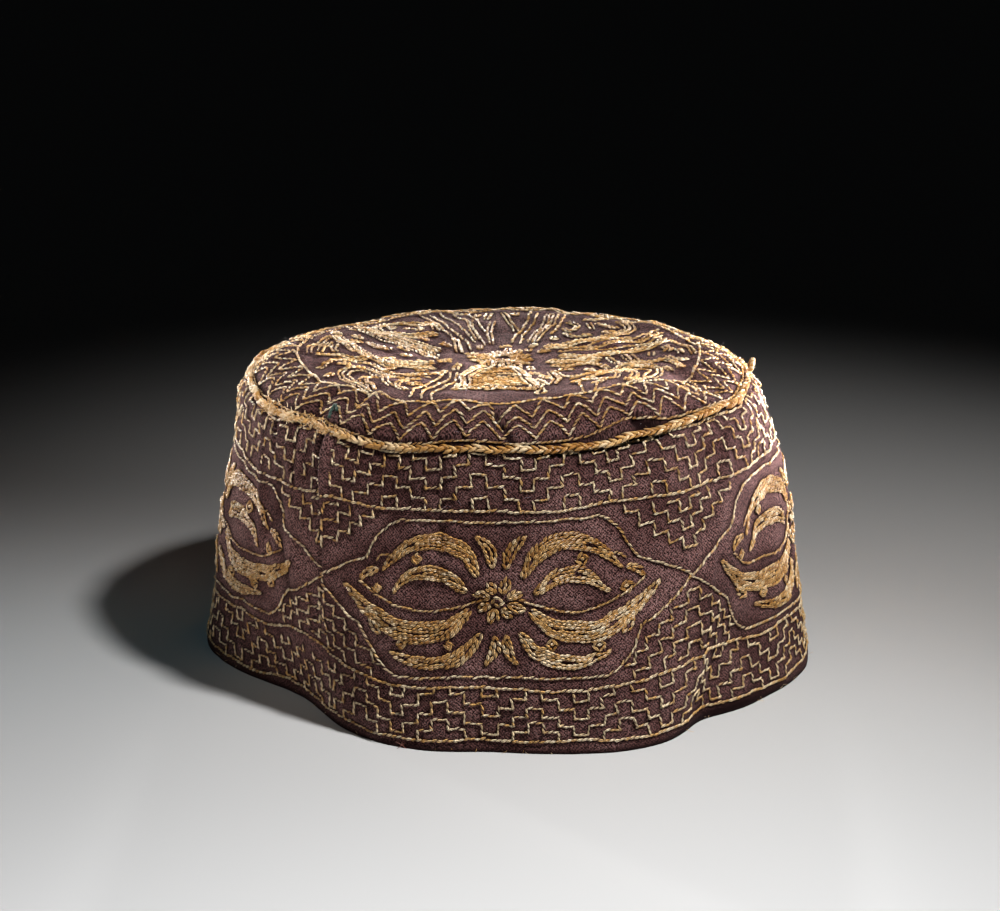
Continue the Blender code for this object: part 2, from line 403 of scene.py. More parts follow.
# From a cartouche's middle outwards: how far its outline stands above and below its middle line
CARTOUCHE_REACH = (0.0, 30.0, 35.0, 38.5, 41.0, 44.0, 50.0, 58.0)
CARTOUCHE_RISE = (22.4, 22.2, 19.5, 15.0, 10.6, 9.3, 5.7, 0.0)
# Its corners part each quarter of the outline into three rows, from one reach to another
CARTOUCHE_ROWS = ((0.0, 30.0), (30.0, 41.0), (41.0, 58.0))
OTHER_TIP = (ROUND - 2 * CARTOUCHE_TIP) / 6.0
CARTOUCHES = (
    (0.0, CARTOUCHE_TIP),
    (CARTOUCHE_TIP + OTHER_TIP, OTHER_TIP),
    (ROUND / 2.0, OTHER_TIP),
    (-CARTOUCHE_TIP - OTHER_TIP, OTHER_TIP),
)

# Where the hand that drew the lines drifted up or down
Drift = namedtuple("Drift", "name round_at slant_at wide tall shift")
BAND_DRIFTS = (
    Drift("left low line", -69.0, 21.0, 17.0, 13.0, 4.2),
    Drift("left upper line", -92.0, 72.0, 18.0, 9.0, -2.0),
    Drift("right upper line", 33.0, 72.0, 11.0, 6.0, 1.4),
    Drift("right low line", 64.0, 21.0, 17.0, 12.0, 3.4),
    Drift("right crossing", 57.0, 46.0, 14.0, 11.0, 2.2),
    Drift("front low line", -3.0, 19.0, 26.0, 8.0, -0.7),
)
# How lines stray from their chart, in mm: round the band and up it
STRAY_ROUND = (Ripple(22.0, 0.45, 11), Ripple(6.0, 0.12, 12))
STRAY_UP = (Ripple(26.0, 0.40, 13), Ripple(6.0, 0.11, 14))
STRAY_RADIUS = 80.0


def wandered(flat):
    """The hand's own unevenness: every line strays a little from its chart."""
    x, y = flat[..., 0], flat[..., 1]
    turn = x / ROUND * 2.0 * math.pi
    ring = np.stack((STRAY_RADIUS * np.cos(turn), STRAY_RADIUS * np.sin(turn), y), -1)
    out = flat.copy()
    out[..., 0] += ripples(ring, STRAY_ROUND)
    out[..., 1] += ripples(ring, STRAY_UP)
    for drift in BAND_DRIFTS:
        near = hump(x - drift.round_at, drift.wide) * hump(y - drift.slant_at, drift.tall)
        out[..., 1] += drift.shift * near
    return out


def cartouche_reach(flat):
    """How far inside the nearest cartouche's outline a point lies, in mm; below 0 outside."""
    deepest = np.full(flat.shape[:-1], -99.0)
    for middle, tip in CARTOUCHES:
        across = np.abs((flat[..., 0] - middle + ROUND / 2.0) % ROUND - ROUND / 2.0)
        longer = tip - CARTOUCHE_TIP
        across = np.where(across > longer, across - longer, 0.0)
        rise = np.interp(across, CARTOUCHE_REACH, CARTOUCHE_RISE, right=-9.0)
        deepest = np.maximum(deepest, rise - np.abs(flat[..., 1] - CARTOUCHE_MIDDLE))
    return deepest


# Rows of stitches: the shortest that is worked, and how far they keep from the lines beside them
SHORTEST_ROW = 1.1
ROW_CLEAR = 1.3


def kept_part(start, end, allowed, cuts=24):
    """The longest stretch of a straight row that is allowed, or None."""
    share = np.linspace(0.0, 1.0, cuts + 1)[:, None]
    points = np.array(start) * (1 - share) + np.array(end) * share
    good = allowed(points)
    best, first = (0, 0), None
    for i, fine in enumerate(list(good) + [False]):
        if fine and first is None:
            first = i
        if not fine and first is not None:
            if i - 1 - first > best[1] - best[0]:
                best = (first, i - 1)
            first = None
    kept = points[best[0]], points[best[1]]
    return kept if np.linalg.norm(kept[1] - kept[0]) > SHORTEST_ROW else None


def stepped_corners(middle, top, tread, rise, levels):
    """Corners of a stepped line, left to right; levels counts the rises below its top."""
    corners = []
    left = middle - len(levels) * tread / 2.0
    for step, level in enumerate(levels):
        y = top - level * rise
        corners.append((left + step * tread, y))
        corners.append((left + (step + 1) * tread, y))
    return corners


def stepped_runs(corners, allowed, low, high):
    """Each tread and each rise is a row of stitches of its own, so that the corners stay crisp."""
    runs = []
    for start, end in zip(corners, corners[1:]):
        level = start[1] == end[1]
        if level and not low + ROW_CLEAR < start[1] < high:
            continue
        if np.hypot(end[0] - start[0], end[1] - start[1]) < 0.1:
            continue
        kept = kept_part(start, end, allowed)
        if kept is not None:
            runs.append(Run(np.array(kept), LINE_WIDTH, 1.1))
    return runs


def border_runs(border):
    """The stepped lines of a border, nested one above the other, all the way round."""
    repeat = ROUND / border.repeats
    tread = repeat / 6.0
    runs = []

    def inside(points):
        return (points[:, 1] > border.low) & (points[:, 1] < border.high)

    for top in border.tops:
        for number in range(border.repeats):
            middle = border.first_peak + number * repeat
            corners = stepped_corners(middle, top, tread, RISE, (2, 1, 0, 1, 2, 3))
            corners = [(x + tread / 2.0, y) for x, y in corners]
            corners.append((corners[-1][0], top - 2 * RISE))
            runs += stepped_runs(corners, inside, border.low, border.high)
    return runs


def ring_line(slant, width=0.78, shade=0.95):
    """A line of stitches right round the band."""
    x = np.linspace(-ROUND / 2.0, ROUND / 2.0, 400)
    return Run(np.stack((x, np.full_like(x, slant)), -1), width, shade)


def cartouche_runs(middle, tip):
    """A cartouche's outline, worked in rows from corner to corner."""
    longer = tip - CARTOUCHE_TIP
    runs = []
    for side in (-1, 1):
        for way in (-1, 1):
            for low, high in CARTOUCHE_ROWS:
                reach = np.linspace(low, high, max(4, int((high - low) / 1.5)))
                rise = smooth_table(reach, CARTOUCHE_REACH, CARTOUCHE_RISE)
                if low == 0.0:
                    reach = reach * (high + longer) / high
                    rise = np.full_like(reach, CARTOUCHE_RISE[0])
                else:
                    reach = reach + longer
                flat = np.stack((middle + side * reach, CARTOUCHE_MIDDLE + way * rise), -1)
                runs.append(Run(flat, LINE_WIDTH, 1.1))
    return runs


WEDGE_TREAD = 4.4
WEDGE_TOPS = (41.2, 36.0, 30.7, 25.3)
WEDGE_VALLEYS = (54.6, 60.0, 65.4, 70.6)


def wedge_runs(middle):
    """Between two cartouches: nested steps that point down from above and up from below."""
    runs = []

    def above(points):
        clear = cartouche_reach(points) < -ROW_CLEAR
        return clear & (points[:, 1] > CARTOUCHE_MIDDLE) & (points[:, 1] < UPPER_LINE - 1.0)

    def below(points):
        clear = cartouche_reach(points) < -ROW_CLEAR
        return clear & (points[:, 1] < CARTOUCHE_MIDDLE) & (points[:, 1] > LOWER_LINE + 1.0)

    levels = (5, 4, 3, 2, 1, 0, 1, 2, 3, 4, 5)
    for top in WEDGE_TOPS:
        corners = stepped_corners(middle, top, WEDGE_TREAD, RISE, levels)
        runs += stepped_runs(corners, below, LOWER_LINE, CARTOUCHE_MIDDLE)
    for valley in WEDGE_VALLEYS:
        corners = stepped_corners(middle, valley, WEDGE_TREAD, -RISE, levels)
        runs += stepped_runs(corners, above, CARTOUCHE_MIDDLE, UPPER_LINE - 0.6)
    return runs


# Leafy ornament in the cartouches, charted for one half and mirrored: points in mm from the middle
Leaf = namedtuple("Leaf", "name spine width shade")
LEAVES = (
    Leaf("great leaf", ((7.5, -2.0), (15, -8.0), (27, -9.8), (38, -5.5), (49, 2.4)), 6.2, 0.55),
    Leaf("upper leaf", ((5.5, 6.5), (10, 13.5), (20, 16.5), (30, 13.0), (36, 6.0)), 5.0, 0.35),
    Leaf("lower leaf", ((4.5, -9.5), (10, -15.5), (20, -18.3), (32, -16.0)), 4.4, 0.6),
    Leaf("inner leaf", ((9, 2.5), (16, 7.0), (25, 6.6), (32, 0.0)), 4.4, 0.5),
    Leaf("top bud", ((1.6, 9.4), (2.8, 14.5), (8.0, 18.8)), 3.2, 0.45),
    Leaf("low bud", ((1.4, -10.6), (1.8, -15.5), (4.6, -19.8)), 2.8, 0.6),
    Leaf("outer bud", ((36.2, 7.6), (39.6, 6.6), (42.6, 3.4)), 2.6, 0.4),
    Leaf("small bud", ((34.0, -12.0), (36.6, -10.2), (38.4, -7.2)), 2.4, 0.6),
)
VINES = (
    ((5.0, 0.5), (12.0, -1.6), (22.0, -3.4), (33.0, -2.0), (42.0, 3.4)),
    ((31.6, 12.0), (34.6, 12.2), (37.0, 10.4)),
)
LOZENGES = ((24.0, 11.2), (36.4, 1.6), (15.0, -13.2), (27.5, -13.8))
PETALS = 8
PETAL_REACH = (6.4, 7.4)
EYE_RADIUS = 1.3
ROW_GAP = 0.83


def smooth_line(points, count):
    """A smooth line through a few points."""
    points = np.array(points, float)
    places = lengths_along(points)
    at = np.linspace(0.0, places[-1], count)
    return np.stack([smooth_table(at, places, points[:, axis]) for axis in (0, 1)], -1)


def sides_of(line):
    """Unit directions to the left of a flat line."""
    way = unit(np.gradient(line, axis=0))
    return np.stack((-way[:, 1], way[:, 0]), -1)


def direction(turn):
    """The flat direction at a turn, in radians."""
    return np.array((math.cos(turn), math.sin(turn)))


def leaf_runs(spine, width, shade, fullest=0.72):
    """A leaf filled with rows of chain stitch, one inside the other, that follow its outline."""
    line = smooth_line(spine, 48)
    share = np.linspace(0.0, 1.0, 48)
    half = width / 2.0 * np.sin(math.pi * share ** fullest) ** 0.7
    side = sides_of(line)
    runs = []
    inset = ROW_GAP / 2.0
    while half.max() > inset:
        inside = half > inset
        if inside.sum() < 4:
            break
        reach = side * (half - inset)[:, None]
        if half.max() - inset < ROW_GAP * 0.45:
            runs.append(Run(line[inside], FILL_WIDTH, shade))
            break
        runs.append(Run((line + reach)[inside], FILL_WIDTH, shade, 1.0))
        runs.append(Run((line - reach)[inside], FILL_WIDTH, shade, -1.0))
        inset += ROW_GAP
    return runs


STROKE_GAP = 0.92
STROKE_WIDTH = 0.68


def stroke_runs(points, rows, shade):
    """A curved bar of embroidery: rows of chain stitch side by side, the outer ones shorter."""
    line = smooth_line(points, 16 + 8 * len(points))
    side = sides_of(line)
    runs = []
    for row in range(rows):
        offset = (row - (rows - 1) / 2.0) * STROKE_GAP
        trim = int(abs(offset) * 0.9)
        kept = slice(trim, len(line) - trim)
        runs.append(Run((line + side * offset)[kept], STROKE_WIDTH, shade, 1.0 if row % 2 else -1.0))
    return runs


def lozenge_runs(x, y, half=1.5):
    """A small filled lozenge."""
    corners = np.array(((x - half, y), (x, y + half), (x + half, y), (x, y - half), (x - half, y)))
    sides = [Run(corners[i:i + 2], FILL_WIDTH, 0.4) for i in range(4)]
    return sides + [Run(np.array(((x - 0.6, y), (x + 0.6, y))), FILL_WIDTH, 0.5)]


def rosette_runs():
    """The flower in the middle: petals round a small ring."""
    runs = []
    for number in range(PETALS):
        way = direction(2.0 * math.pi * (number + 0.5) / PETALS)
        reach = PETAL_REACH[number % 2]
        spine = [way * 2.4, way * (reach * 0.62), way * reach]
        runs += leaf_runs(spine, 3.2, 0.45, 0.85)
    turn = np.linspace(0.0, 2.0 * math.pi, 13)
    ring = np.stack((EYE_RADIUS * np.cos(turn), EYE_RADIUS * np.sin(turn)), -1)
    runs.append(Run(ring, FILL_WIDTH, 0.75))
    return runs


def ornament_runs(middle, tip):
    """The whole leafy ornament of one cartouche, stretched a little in the longer ones."""
    half = [run for leaf in LEAVES for run in leaf_runs(leaf.spine, leaf.width, leaf.shade)]
    half += [Run(smooth_line(vine, 30), LINE_WIDTH, 0.5) for vine in VINES]
    half += [run for x, y in LOZENGES for run in lozenge_runs(x, y)]
    runs = list(rosette_runs())
    for side in (-1.0, 1.0):
        runs += [Run(run.points * (side, 1.0), run.width, run.shade) for run in half]
    stretch = (tip / CARTOUCHE_TIP, 1.0)
    place = (middle, CARTOUCHE_MIDDLE)
    return [Run(run.points * stretch + place, run.width, run.shade) for run in runs]


upper_runs = border_runs(UPPER_BORDER) + [ring_line(UPPER_LINE), ring_line(NECK_LINE, 0.75)]
lower_runs = border_runs(LOWER_BORDER) + [ring_line(LOWER_LINE), ring_line(BOTTOM_LINE)]
middle_runs = []
leaf_fill_runs = []
for cartouche_middle, cartouche_tip in CARTOUCHES:
    middle_runs += cartouche_runs(cartouche_middle, cartouche_tip)
    middle_runs += wedge_runs(cartouche_middle + cartouche_tip)
    leaf_fill_runs += ornament_runs(cartouche_middle, cartouche_tip)


# The side band's cloth: purple-brown plain weave, two layers thick. Each line of stitches pulls it in
# a little, so that it puffs between them. Its lower edge is turned in.
BAND_COLUMNS = 600
BAND_ROWS = 98
STITCH_PULL = 0.00028
PULL_WIDTH = 0.0012


def walked(points, step):
    """Even places along one flat row."""
    places = lengths_along(points)
    at = np.linspace(0.0, places[-1], max(2, int(places[-1] / step) + 1))
    return np.stack([np.interp(at, places, points[:, axis]) for axis in (0, 1)], -1)


def dense(runs, step=1.0):
    """Flat points every mm or so along all the rows."""
    return np.concatenate([walked(run.points, step) for run in runs])


def search_tree(points):
    """A tree that finds the nearest of some points."""
    tree = kdtree.KDTree(len(points))
    for index, point in enumerate(points):
        tree.insert(point, index)
    tree.balance()
    return tree


def pulled(points, normals, stitched):
    """Draw the cloth in along the stitched lines."""
    tree = search_tree(stitched)
    flat_points = points.reshape(-1, 3)
    gap = np.array([tree.find(point)[2] for point in flat_points]).reshape(points.shape[:-1])
    pull = hump(gap, PULL_WIDTH)
    return points - normals * (STITCH_PULL * pull)[..., None], pull


def quads(rows, columns, first, inwards):
    """Corners (row, column) of a closed ring of quads; column may run one past the last."""
    row, column = np.meshgrid(np.arange(rows - 1), np.arange(columns), indexing="ij")
    row, column = row.ravel(), column.ravel()
    corners = [(row, column), (row, column + 1), (row + 1, column + 1), (row + 1, column)]
    if inwards:
        corners = corners[::-1]
    index = np.stack([first + r * columns + c % columns for r, c in corners], -1)
    place = np.stack([np.stack((c / columns, r / (rows - 1.0)), -1) for r, c in corners], 1)
    return index, place


def edge_triangles(outer_first, inner_first, columns, flip, level):
    """Triangles that close the edge between a fine outer skin and an inner one half as fine."""
    half = columns // 2
    number = np.arange(half)
    a = outer_first + 2 * number
    b = outer_first + 2 * number + 1
    c = outer_first + (2 * number + 2) % columns
    d = inner_first + number
    e = inner_first + (number + 1) % half
    index = np.concatenate([np.stack(t, -1) for t in ((a, d, b), (b, d, e), (b, e, c))])
    at = np.concatenate([2 * number / columns] * 3)
    place = np.stack((np.repeat(at[:, None], 3, 1), np.full((len(at), 3), level)), -1)
    if flip:
        index = index[:, ::-1]
    return index, place


def cloth_mesh(name, outer, inner, caps):
    """One closed skin of cloth. caps are the two ends' centre points, outer and inner, or None."""
    rows, columns = outer.shape[:2]
    inner_rows, inner_columns = inner.shape[:2]
    inner_first = rows * columns
    points = [outer.reshape(-1, 3), inner.reshape(-1, 3)]
    quad_parts = [quads(rows, columns, 0, False), quads(inner_rows, inner_columns, inner_first, True)]
    triangle_parts = [edge_triangles(0, inner_first, columns, False, 0.0)]
    if caps is None:
        last_outer = (rows - 1) * columns
        last_inner = inner_first + (inner_rows - 1) * inner_columns
        triangle_parts.append(edge_triangles(last_outer, last_inner, columns, True, 1.0))
    else:
        points.append(np.array(caps))
        centre = inner_first + inner_rows * inner_columns
        triangle_parts.append(fan(0, rows, columns, centre, False))
        triangle_parts.append(fan(inner_first, inner_rows, inner_columns, centre + 1, True))
    faces = [part.tolist() for part, place in quad_parts + triangle_parts]
    mesh = bpy.data.meshes.new(name)
    mesh.from_pydata(np.concatenate(points).tolist(), [], [face for part in faces for face in part])
    corner_places = [place.reshape(-1, 2) for part, place in quad_parts + triangle_parts]
    mesh.shade_smooth()
    return mesh, np.concatenate(corner_places)


def fan(first, rows, columns, centre, flip):
    """Triangles from the last ring of a skin to its centre point."""
    number = np.arange(columns)
    ring = first + (rows - 1) * columns
    index = np.stack((ring + number, ring + (number + 1) % columns, np.full(columns, centre)), -1)
    place = np.ones((columns, 3, 2))
    place[:, 0, 0] = number / columns
    place[:, 1, 0] = (number + 1) / columns
    if flip:
        index = index[:, ::-1]
        place = place[:, ::-1]
    return index, place


def set_uv(mesh, places):
    """Give every corner of a mesh its place on the flat cloth or thread."""
    layer = mesh.uv_layers.new(name="UVMap")
    layer.data.foreach_set("uv", places.astype(np.float32).ravel())


def set_points_attribute(mesh, name, values):
    """Store a number at every point of a mesh."""
    stored = mesh.attributes.new(name, "FLOAT", "POINT")
    stored.data.foreach_set("value", np.asarray(values, np.float32).ravel())


def set_cloth_attribute(mesh, name, outside, inside):
    """Store a number at every point of a skin of cloth: its outer face's own, and one for the rest."""
    rest = np.full(len(mesh.vertices) - outside.size, inside)
    set_points_attribute(mesh, name, np.concatenate((outside.ravel(), rest)))


def skin_grid(columns, rows, start, end):
    """Even places over a flat skin: fractions round it, and millimetres from start to end."""
    across = np.arange(columns) / columns - 0.5
    up = np.linspace(start, end, rows)
    x, y = np.meshgrid(across, up)
    return x, y


def band_grid(columns, rows):
    """Places over the flat band, from rim to seam."""
    across, slant = skin_grid(columns, rows, 0.0, SLANT)
    return np.stack((across * ROUND, slant), -1)


band_flat = band_grid(BAND_COLUMNS, BAND_ROWS)
band_outer, band_normals = band_face(band_flat)
all_band_runs = upper_runs + lower_runs + middle_runs + leaf_fill_runs
stitched_places, _ = band_face(wandered(dense(all_band_runs)))
band_outer, band_pull = pulled(band_outer, band_normals, stitched_places)
band_outer[0, :, 2] = 0.0
inner_points, inner_normals = band_face(band_grid(BAND_COLUMNS // 2, BAND_ROWS // 2))
band_inner = inner_points - inner_normals * CLOTH
band_inner[0, :, 2] = 0.0
band_mesh, band_places = cloth_mesh("band_cloth", band_outer, band_inner, None)
set_uv(band_mesh, (band_places - (0.5, 0.0)) * (ROUND, SLANT))


# Wear pales what stands proud, and some patches besides
PROUD_PATCHES = (Ripple(0.030, 0.25, 1), Ripple(0.011, 0.125, 2))
WORN_PATCHES = (Ripple(0.022, 0.5, 21), Ripple(0.007, 0.25, 22))
TURNED_IN = 2.2


def worn_places(points, pull, low_edge):
    """How worn each point of the cloth is: more on what stands proud, less beside stitches."""
    proud = ripples(points, PROUD_PATCHES)
    patchy = ripples(points, WORN_PATCHES)
    return np.clip(0.5 + 0.30 * proud + 0.22 * patchy - 0.30 * pull - 0.35 * low_edge, 0.0, 1.0)


band_worn = worn_places(band_outer - AXIS, band_pull, hump(band_flat[..., 1], TURNED_IN))
set_cloth_attribute(band_mesh, "worn", band_worn, 0.3)

# Painted shade darkens the turned-in edge and, more faintly, the cloth just above it; the cloth just under
# the cord and beside the stitches; the bottoms of the creases; and, as a painted shadow, the hem at the
# right
ALL_ROUND = math.inf
PaintedShade = namedtuple("PaintedShade", "name round_at slant_at wide tall amount")
BAND_PAINTED_SHADE = (
    PaintedShade("edge", 0.0, 0.0, ALL_ROUND, 1.0, 1.0),
    PaintedShade("above the edge", 0.0, 0.0, ALL_ROUND, 3.4, 0.25),
    PaintedShade("under the cord", 0.0, SLANT, ALL_ROUND, 1.8, 0.5),
    # a painted shadow where the hem at the right stands a little off the floor
    PaintedShade("right of the edge", 76.0, 1.0, 22.0, 2.6, 0.9),
)
STITCH_SHADE = 0.30


def painted_hollow_shade(flat, pull, creases, amount, deep):
    """Painted shade beside the stitches and in the creases; deep is the depth that holds all of it."""
    sunk = np.clip(-crease_relief(flat, creases) / deep, 0.0, 1.0)
    return STITCH_SHADE * pull + amount * sunk


def band_painted_shade():
    """How much painted shade darkens each point of the band."""
    x, y = band_flat[..., 0], band_flat[..., 1]
    painted_dark = painted_hollow_shade(band_flat, band_pull, BAND_CREASES, 0.85, 0.0013)
    for row in BAND_PAINTED_SHADE:
        painted_dark = painted_dark + row.amount * hump(x - row.round_at, row.wide) * hump(y - row.slant_at, row.tall)
    return np.minimum(painted_dark, 1.0)


# Painted shade on the outer face as above; the inner skin gets an even painted shade
set_cloth_attribute(band_mesh, "dark", band_painted_shade(), 0.4)

COTTON_SHADOW = (0.008, 0.003, 0.003, 1.0)
COTTON_BROWN = (0.140, 0.063, 0.058, 1.0)
COTTON_WORN = (0.320, 0.172, 0.160, 1.0)
COTTON_FUZZ = (0.50, 0.34, 0.34, 1.0)
COTTON_PAINTED_SHADE = (0.008, 0.003, 0.003, 1.0)
COTTON_FINISH = {
    "Roughness": 0.95,
    "Specular IOR Level": 0.05,
    "Sheen Weight": 0.025,
    "Sheen Roughness": 0.4,
    "Sheen Tint": (0.92, 0.72, 0.80, 1.0),
}
WEAVE_PITCH = 0.52
WEAVE_STRAY_ACROSS = 9.0
WEAVE_STRAY_UP = -7.0
# Where one tone of the cotton passes into the next
BETWEEN_THREADS = (0.45, 0.58)
RUBBED_THREADS = (0.45, 0.62)
RUBBED_CLOTH = (0.28, 0.95)
FUZZY_SPECKS = (0.63, 0.71)
FUZZY_CLOTH = (0.0, 0.8)
COTTON_BUMP = 0.00035


def add_node(tree, kind, **values):
    """A node with some of its inputs or settings filled in."""
    node = tree.nodes.new(kind)
    for name, value in values.items():
        socket = node.inputs.get(name.replace("_", " "))
        if socket is not None and not hasattr(node, name):
            socket.default_value = value
        else:
            setattr(node, name, value)
    return node


def maths(tree, operation, first, second=None):
    """A Math node between two sockets or numbers; returns its result."""
    node = add_node(tree, "ShaderNodeMath", operation=operation)
    for slot_number, value in enumerate((first, second)):
        if value is None:
            continue
        if isinstance(value, (int, float)):
            node.inputs[slot_number].default_value = value
        else:
            tree.links.new(value, node.inputs[slot_number])
    return node.outputs[0]


def weighted(tree, *terms):
    """The sum of sockets, each times its weight."""
    total = None
    for socket, weight in terms:
        term = maths(tree, "MULTIPLY", socket, weight)
        total = term if total is None else maths(tree, "ADD", total, term)
    return total


def noise(tree, vector, scale, detail=3.0):
    """Smooth noise over a place; returns its value."""
    node = add_node(tree, "ShaderNodeTexNoise", Scale=scale, Detail=detail, Roughness=0.6)
    tree.links.new(vector, node.inputs["Vector"])
    return node.outputs["Fac"]


def mixed(tree, factor, first, second):
    """A colour mix; factor, first and second are sockets or values."""
    node = add_node(tree, "ShaderNodeMix", data_type="RGBA")
    pairs = ((node.inputs[0], factor), (node.inputs[6], first), (node.inputs[7], second))
    for socket, value in pairs:
        if isinstance(value, bpy.types.NodeSocket):
            tree.links.new(value, socket)
        else:
            socket.default_value = value
    return node.outputs[2]


def ramp(tree, value, span):
    """Spread the values between the span's two ends over 0 to 1, softly."""
    node = add_node(tree, "ShaderNodeMapRange", interpolation_type="SMOOTHSTEP")
    node.inputs["From Min"].default_value = span[0]
    node.inputs["From Max"].default_value = span[1]
    tree.links.new(value, node.inputs["Value"])
    return node.outputs["Result"]


def attribute(tree, name):
    """Read a number that the mesh stores at its points."""
    return add_node(tree, "ShaderNodeAttribute", attribute_name=name).outputs["Fac"]


def bumped(tree, height, distance, strength):
    """A normal that follows a fine relief."""
    node = add_node(tree, "ShaderNodeBump", Strength=strength, Distance=distance)
    tree.links.new(height, node.inputs["Height"])
    return node.outputs["Normal"]


def cotton_material(name):
    """Worn plain-woven cotton: crossing threads, darker between them, paler and fuzzy where rubbed, and
    painted shade where the dark attribute says.
    """
    made, tree, shader = new_material(name)
    place = add_node(tree, "ShaderNodeTexCoord")
    parts = add_node(tree, "ShaderNodeSeparateXYZ")
    tree.links.new(place.outputs["UV"], parts.inputs[0])
    stray = noise(tree, place.outputs["UV"], 0.7)
    per_mm = math.pi / WEAVE_PITCH
    across_turn = weighted(tree, (parts.outputs[0], per_mm), (stray, WEAVE_STRAY_ACROSS))
    up_turn = weighted(tree, (parts.outputs[1], per_mm), (stray, WEAVE_STRAY_UP))
    weave = maths(tree, "MULTIPLY", maths(tree, "SINE", across_turn), maths(tree, "SINE", up_turn))
    grain = noise(tree, place.outputs["UV"], 3.0, 2.0)
    coarse = noise(tree, place.outputs["UV"], 1.15, 2.0)
    speck = noise(tree, place.outputs["UV"], 2.9, 1.0)
    worn = attribute(tree, "worn")
    dark = attribute(tree, "dark")
    blotch = noise(tree, place.outputs["Object"], 90.0, 4.0)

    thread = weighted(tree, (weave, 0.07), (grain, 0.62), (coarse, 0.38))
    base = mixed(tree, ramp(tree, thread, BETWEEN_THREADS), COTTON_SHADOW, COTTON_BROWN)
    rubbed = weighted(tree, (worn, 0.8), (blotch, 0.4))
    rubbed = maths(tree, "MULTIPLY", ramp(tree, rubbed, RUBBED_CLOTH), ramp(tree, thread, RUBBED_THREADS))
    base = mixed(tree, rubbed, base, COTTON_WORN)
    fuzz = maths(tree, "MULTIPLY", ramp(tree, speck, FUZZY_SPECKS), ramp(tree, worn, FUZZY_CLOTH))
    base = mixed(tree, maths(tree, "MULTIPLY", fuzz, 0.8), base, COTTON_FUZZ)
    # Painted shade, where the dark attribute asks for it: the hem's edge, under the cord, beside stitches,
    # in creases
    base = mixed(tree, dark, base, COTTON_PAINTED_SHADE)
    tree.links.new(base, shader.inputs["Base Color"])
    fill_in(shader, COTTON_FINISH)
    height = weighted(tree, (thread, 1.0), (speck, 0.5))
    tree.links.new(bumped(tree, height, COTTON_BUMP, 0.9), shader.inputs["Normal"])
    return made


def piece_of(name, mesh):
    """A piece of the cap, which stays with its one body."""
    piece = put(name, mesh)
    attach(piece, "root")
    return piece


cotton = cotton_material("purple-brown cotton")
band_mesh.materials.append(cotton)
band_cloth = piece_of("band_cloth", band_mesh)
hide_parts("side_band")


# The crown: a round piece of the same double cotton, sewn to the band all round, low and nearly flat.
CrownRing = namedtuple("CrownRing", "share rise")
CROWN_PROFILE = (
    CrownRing(0.0, 0.0062),
    CrownRing(0.30, 0.0066),
    CrownRing(0.60, 0.0075),
    CrownRing(0.84, 0.0077),
    CrownRing(0.93, 0.0056),
    CrownRing(0.98, 0.0027),
    CrownRing(1.0, 0.0),
)
CROWN_EDGE = 0.998
CROWN_TILT = 0.28
CROWN_FLAT = 0.80
CROWN_TUCKED = 0.06
CrownFold = namedtuple("CrownFold", "name angle width share reach push")
CROWN_FOLDS = (
    CrownFold("swell beside the pleat", 34, 15, 0.86, 0.22, 0.0020),
    CrownFold("pleat", 62, 12, 0.88, 0.20, -0.0030),
    CrownFold("front notch", 2, 4, 0.90, 0.10, -0.0012),
    CrownFold("left low", -60, 20, 0.80, 0.25, -0.0010),
)
CROWN_CREASES = (
    Crease("front notch", (-2.6, -64.0), (4.0, -74.4), 0.9, 3.0, 1.0),
    Crease("right slit", (37.0, -61.6), (47.5, -58.2), 0.8, 4.4, 0.9),
    Crease("left pucker", (-37.0, -48.0), (-43.0, -56.0), 1.3, 0.9, 0.8),
    Crease("left pucker below", (-46.0, -42.0), (-54.0, -48.0), 1.4, 0.8, 0.6),
    Crease("back pucker", (20.0, 58.0), (24.0, 70.0), 1.4, 0.8, 0.5),
    Crease("left side pucker", (-58.0, 20.0), (-70.0, 24.0), 1.5, 0.7, 0.5),
)
CROWN_RUMPLES = (
    Ripple(0.028, 0.00040, 4),
    Ripple(0.010, 0.00022, 5),
    Ripple(0.0045, 0.00008, 6),
)
CROWN_LEAST_RUMPLE = 0.15
CROWN_COLUMNS = 460
CROWN_ROWS = 84
# How the rings of the crown's mesh close up from the seam to the small fan in its middle
RING_CLOSING = 1.15
FAN_SHARE = 0.006
PLAN_STEP = 0.4


def crown_shape(angle, share):
    """The crown's outer face, before its small rumples, about its own middle."""
    angle, share = np.broadcast_arrays(np.asarray(angle, float), np.asarray(share, float))
    edge = band_shape(angle, SEAM_HEIGHT)
    rise = smooth_table(share, [r.share for r in CROWN_PROFILE], [r.rise for r in CROWN_PROFILE])
    tilt = 1.0 + CROWN_TILT * np.cos(np.radians(angle)) * np.minimum(share / CROWN_FLAT, 1.0)
    height = SEAM_HEIGHT + rise * tilt + (edge[..., 2] - SEAM_HEIGHT) * share ** 3
    for fold in CROWN_FOLDS:
        near = hump(turned(angle, fold.angle), fold.width) * hump(share - fold.share, fold.reach)
        height = height + fold.push * near * np.clip((1.0 - share) / CROWN_TUCKED, 0.0, 1.0)
    return np.stack((edge[..., 0] * share, edge[..., 1] * share, height), -1)


def crown_turn_and_share(flat):
    """The angle, and the share of the way out to the seam, of a point on the plan of the crown."""
    angle = np.degrees(np.arctan2(flat[..., 0], -flat[..., 1]))
    edge = band_shape(angle, SEAM_HEIGHT)
    reach = np.hypot(edge[..., 0], edge[..., 1])
    return angle, np.hypot(flat[..., 0], flat[..., 1]) * MM / reach


def crown_height(flat):
    """How high the crown stands over places on its plan."""
    return crown_shape(*crown_turn_and_share(flat))[..., 2]


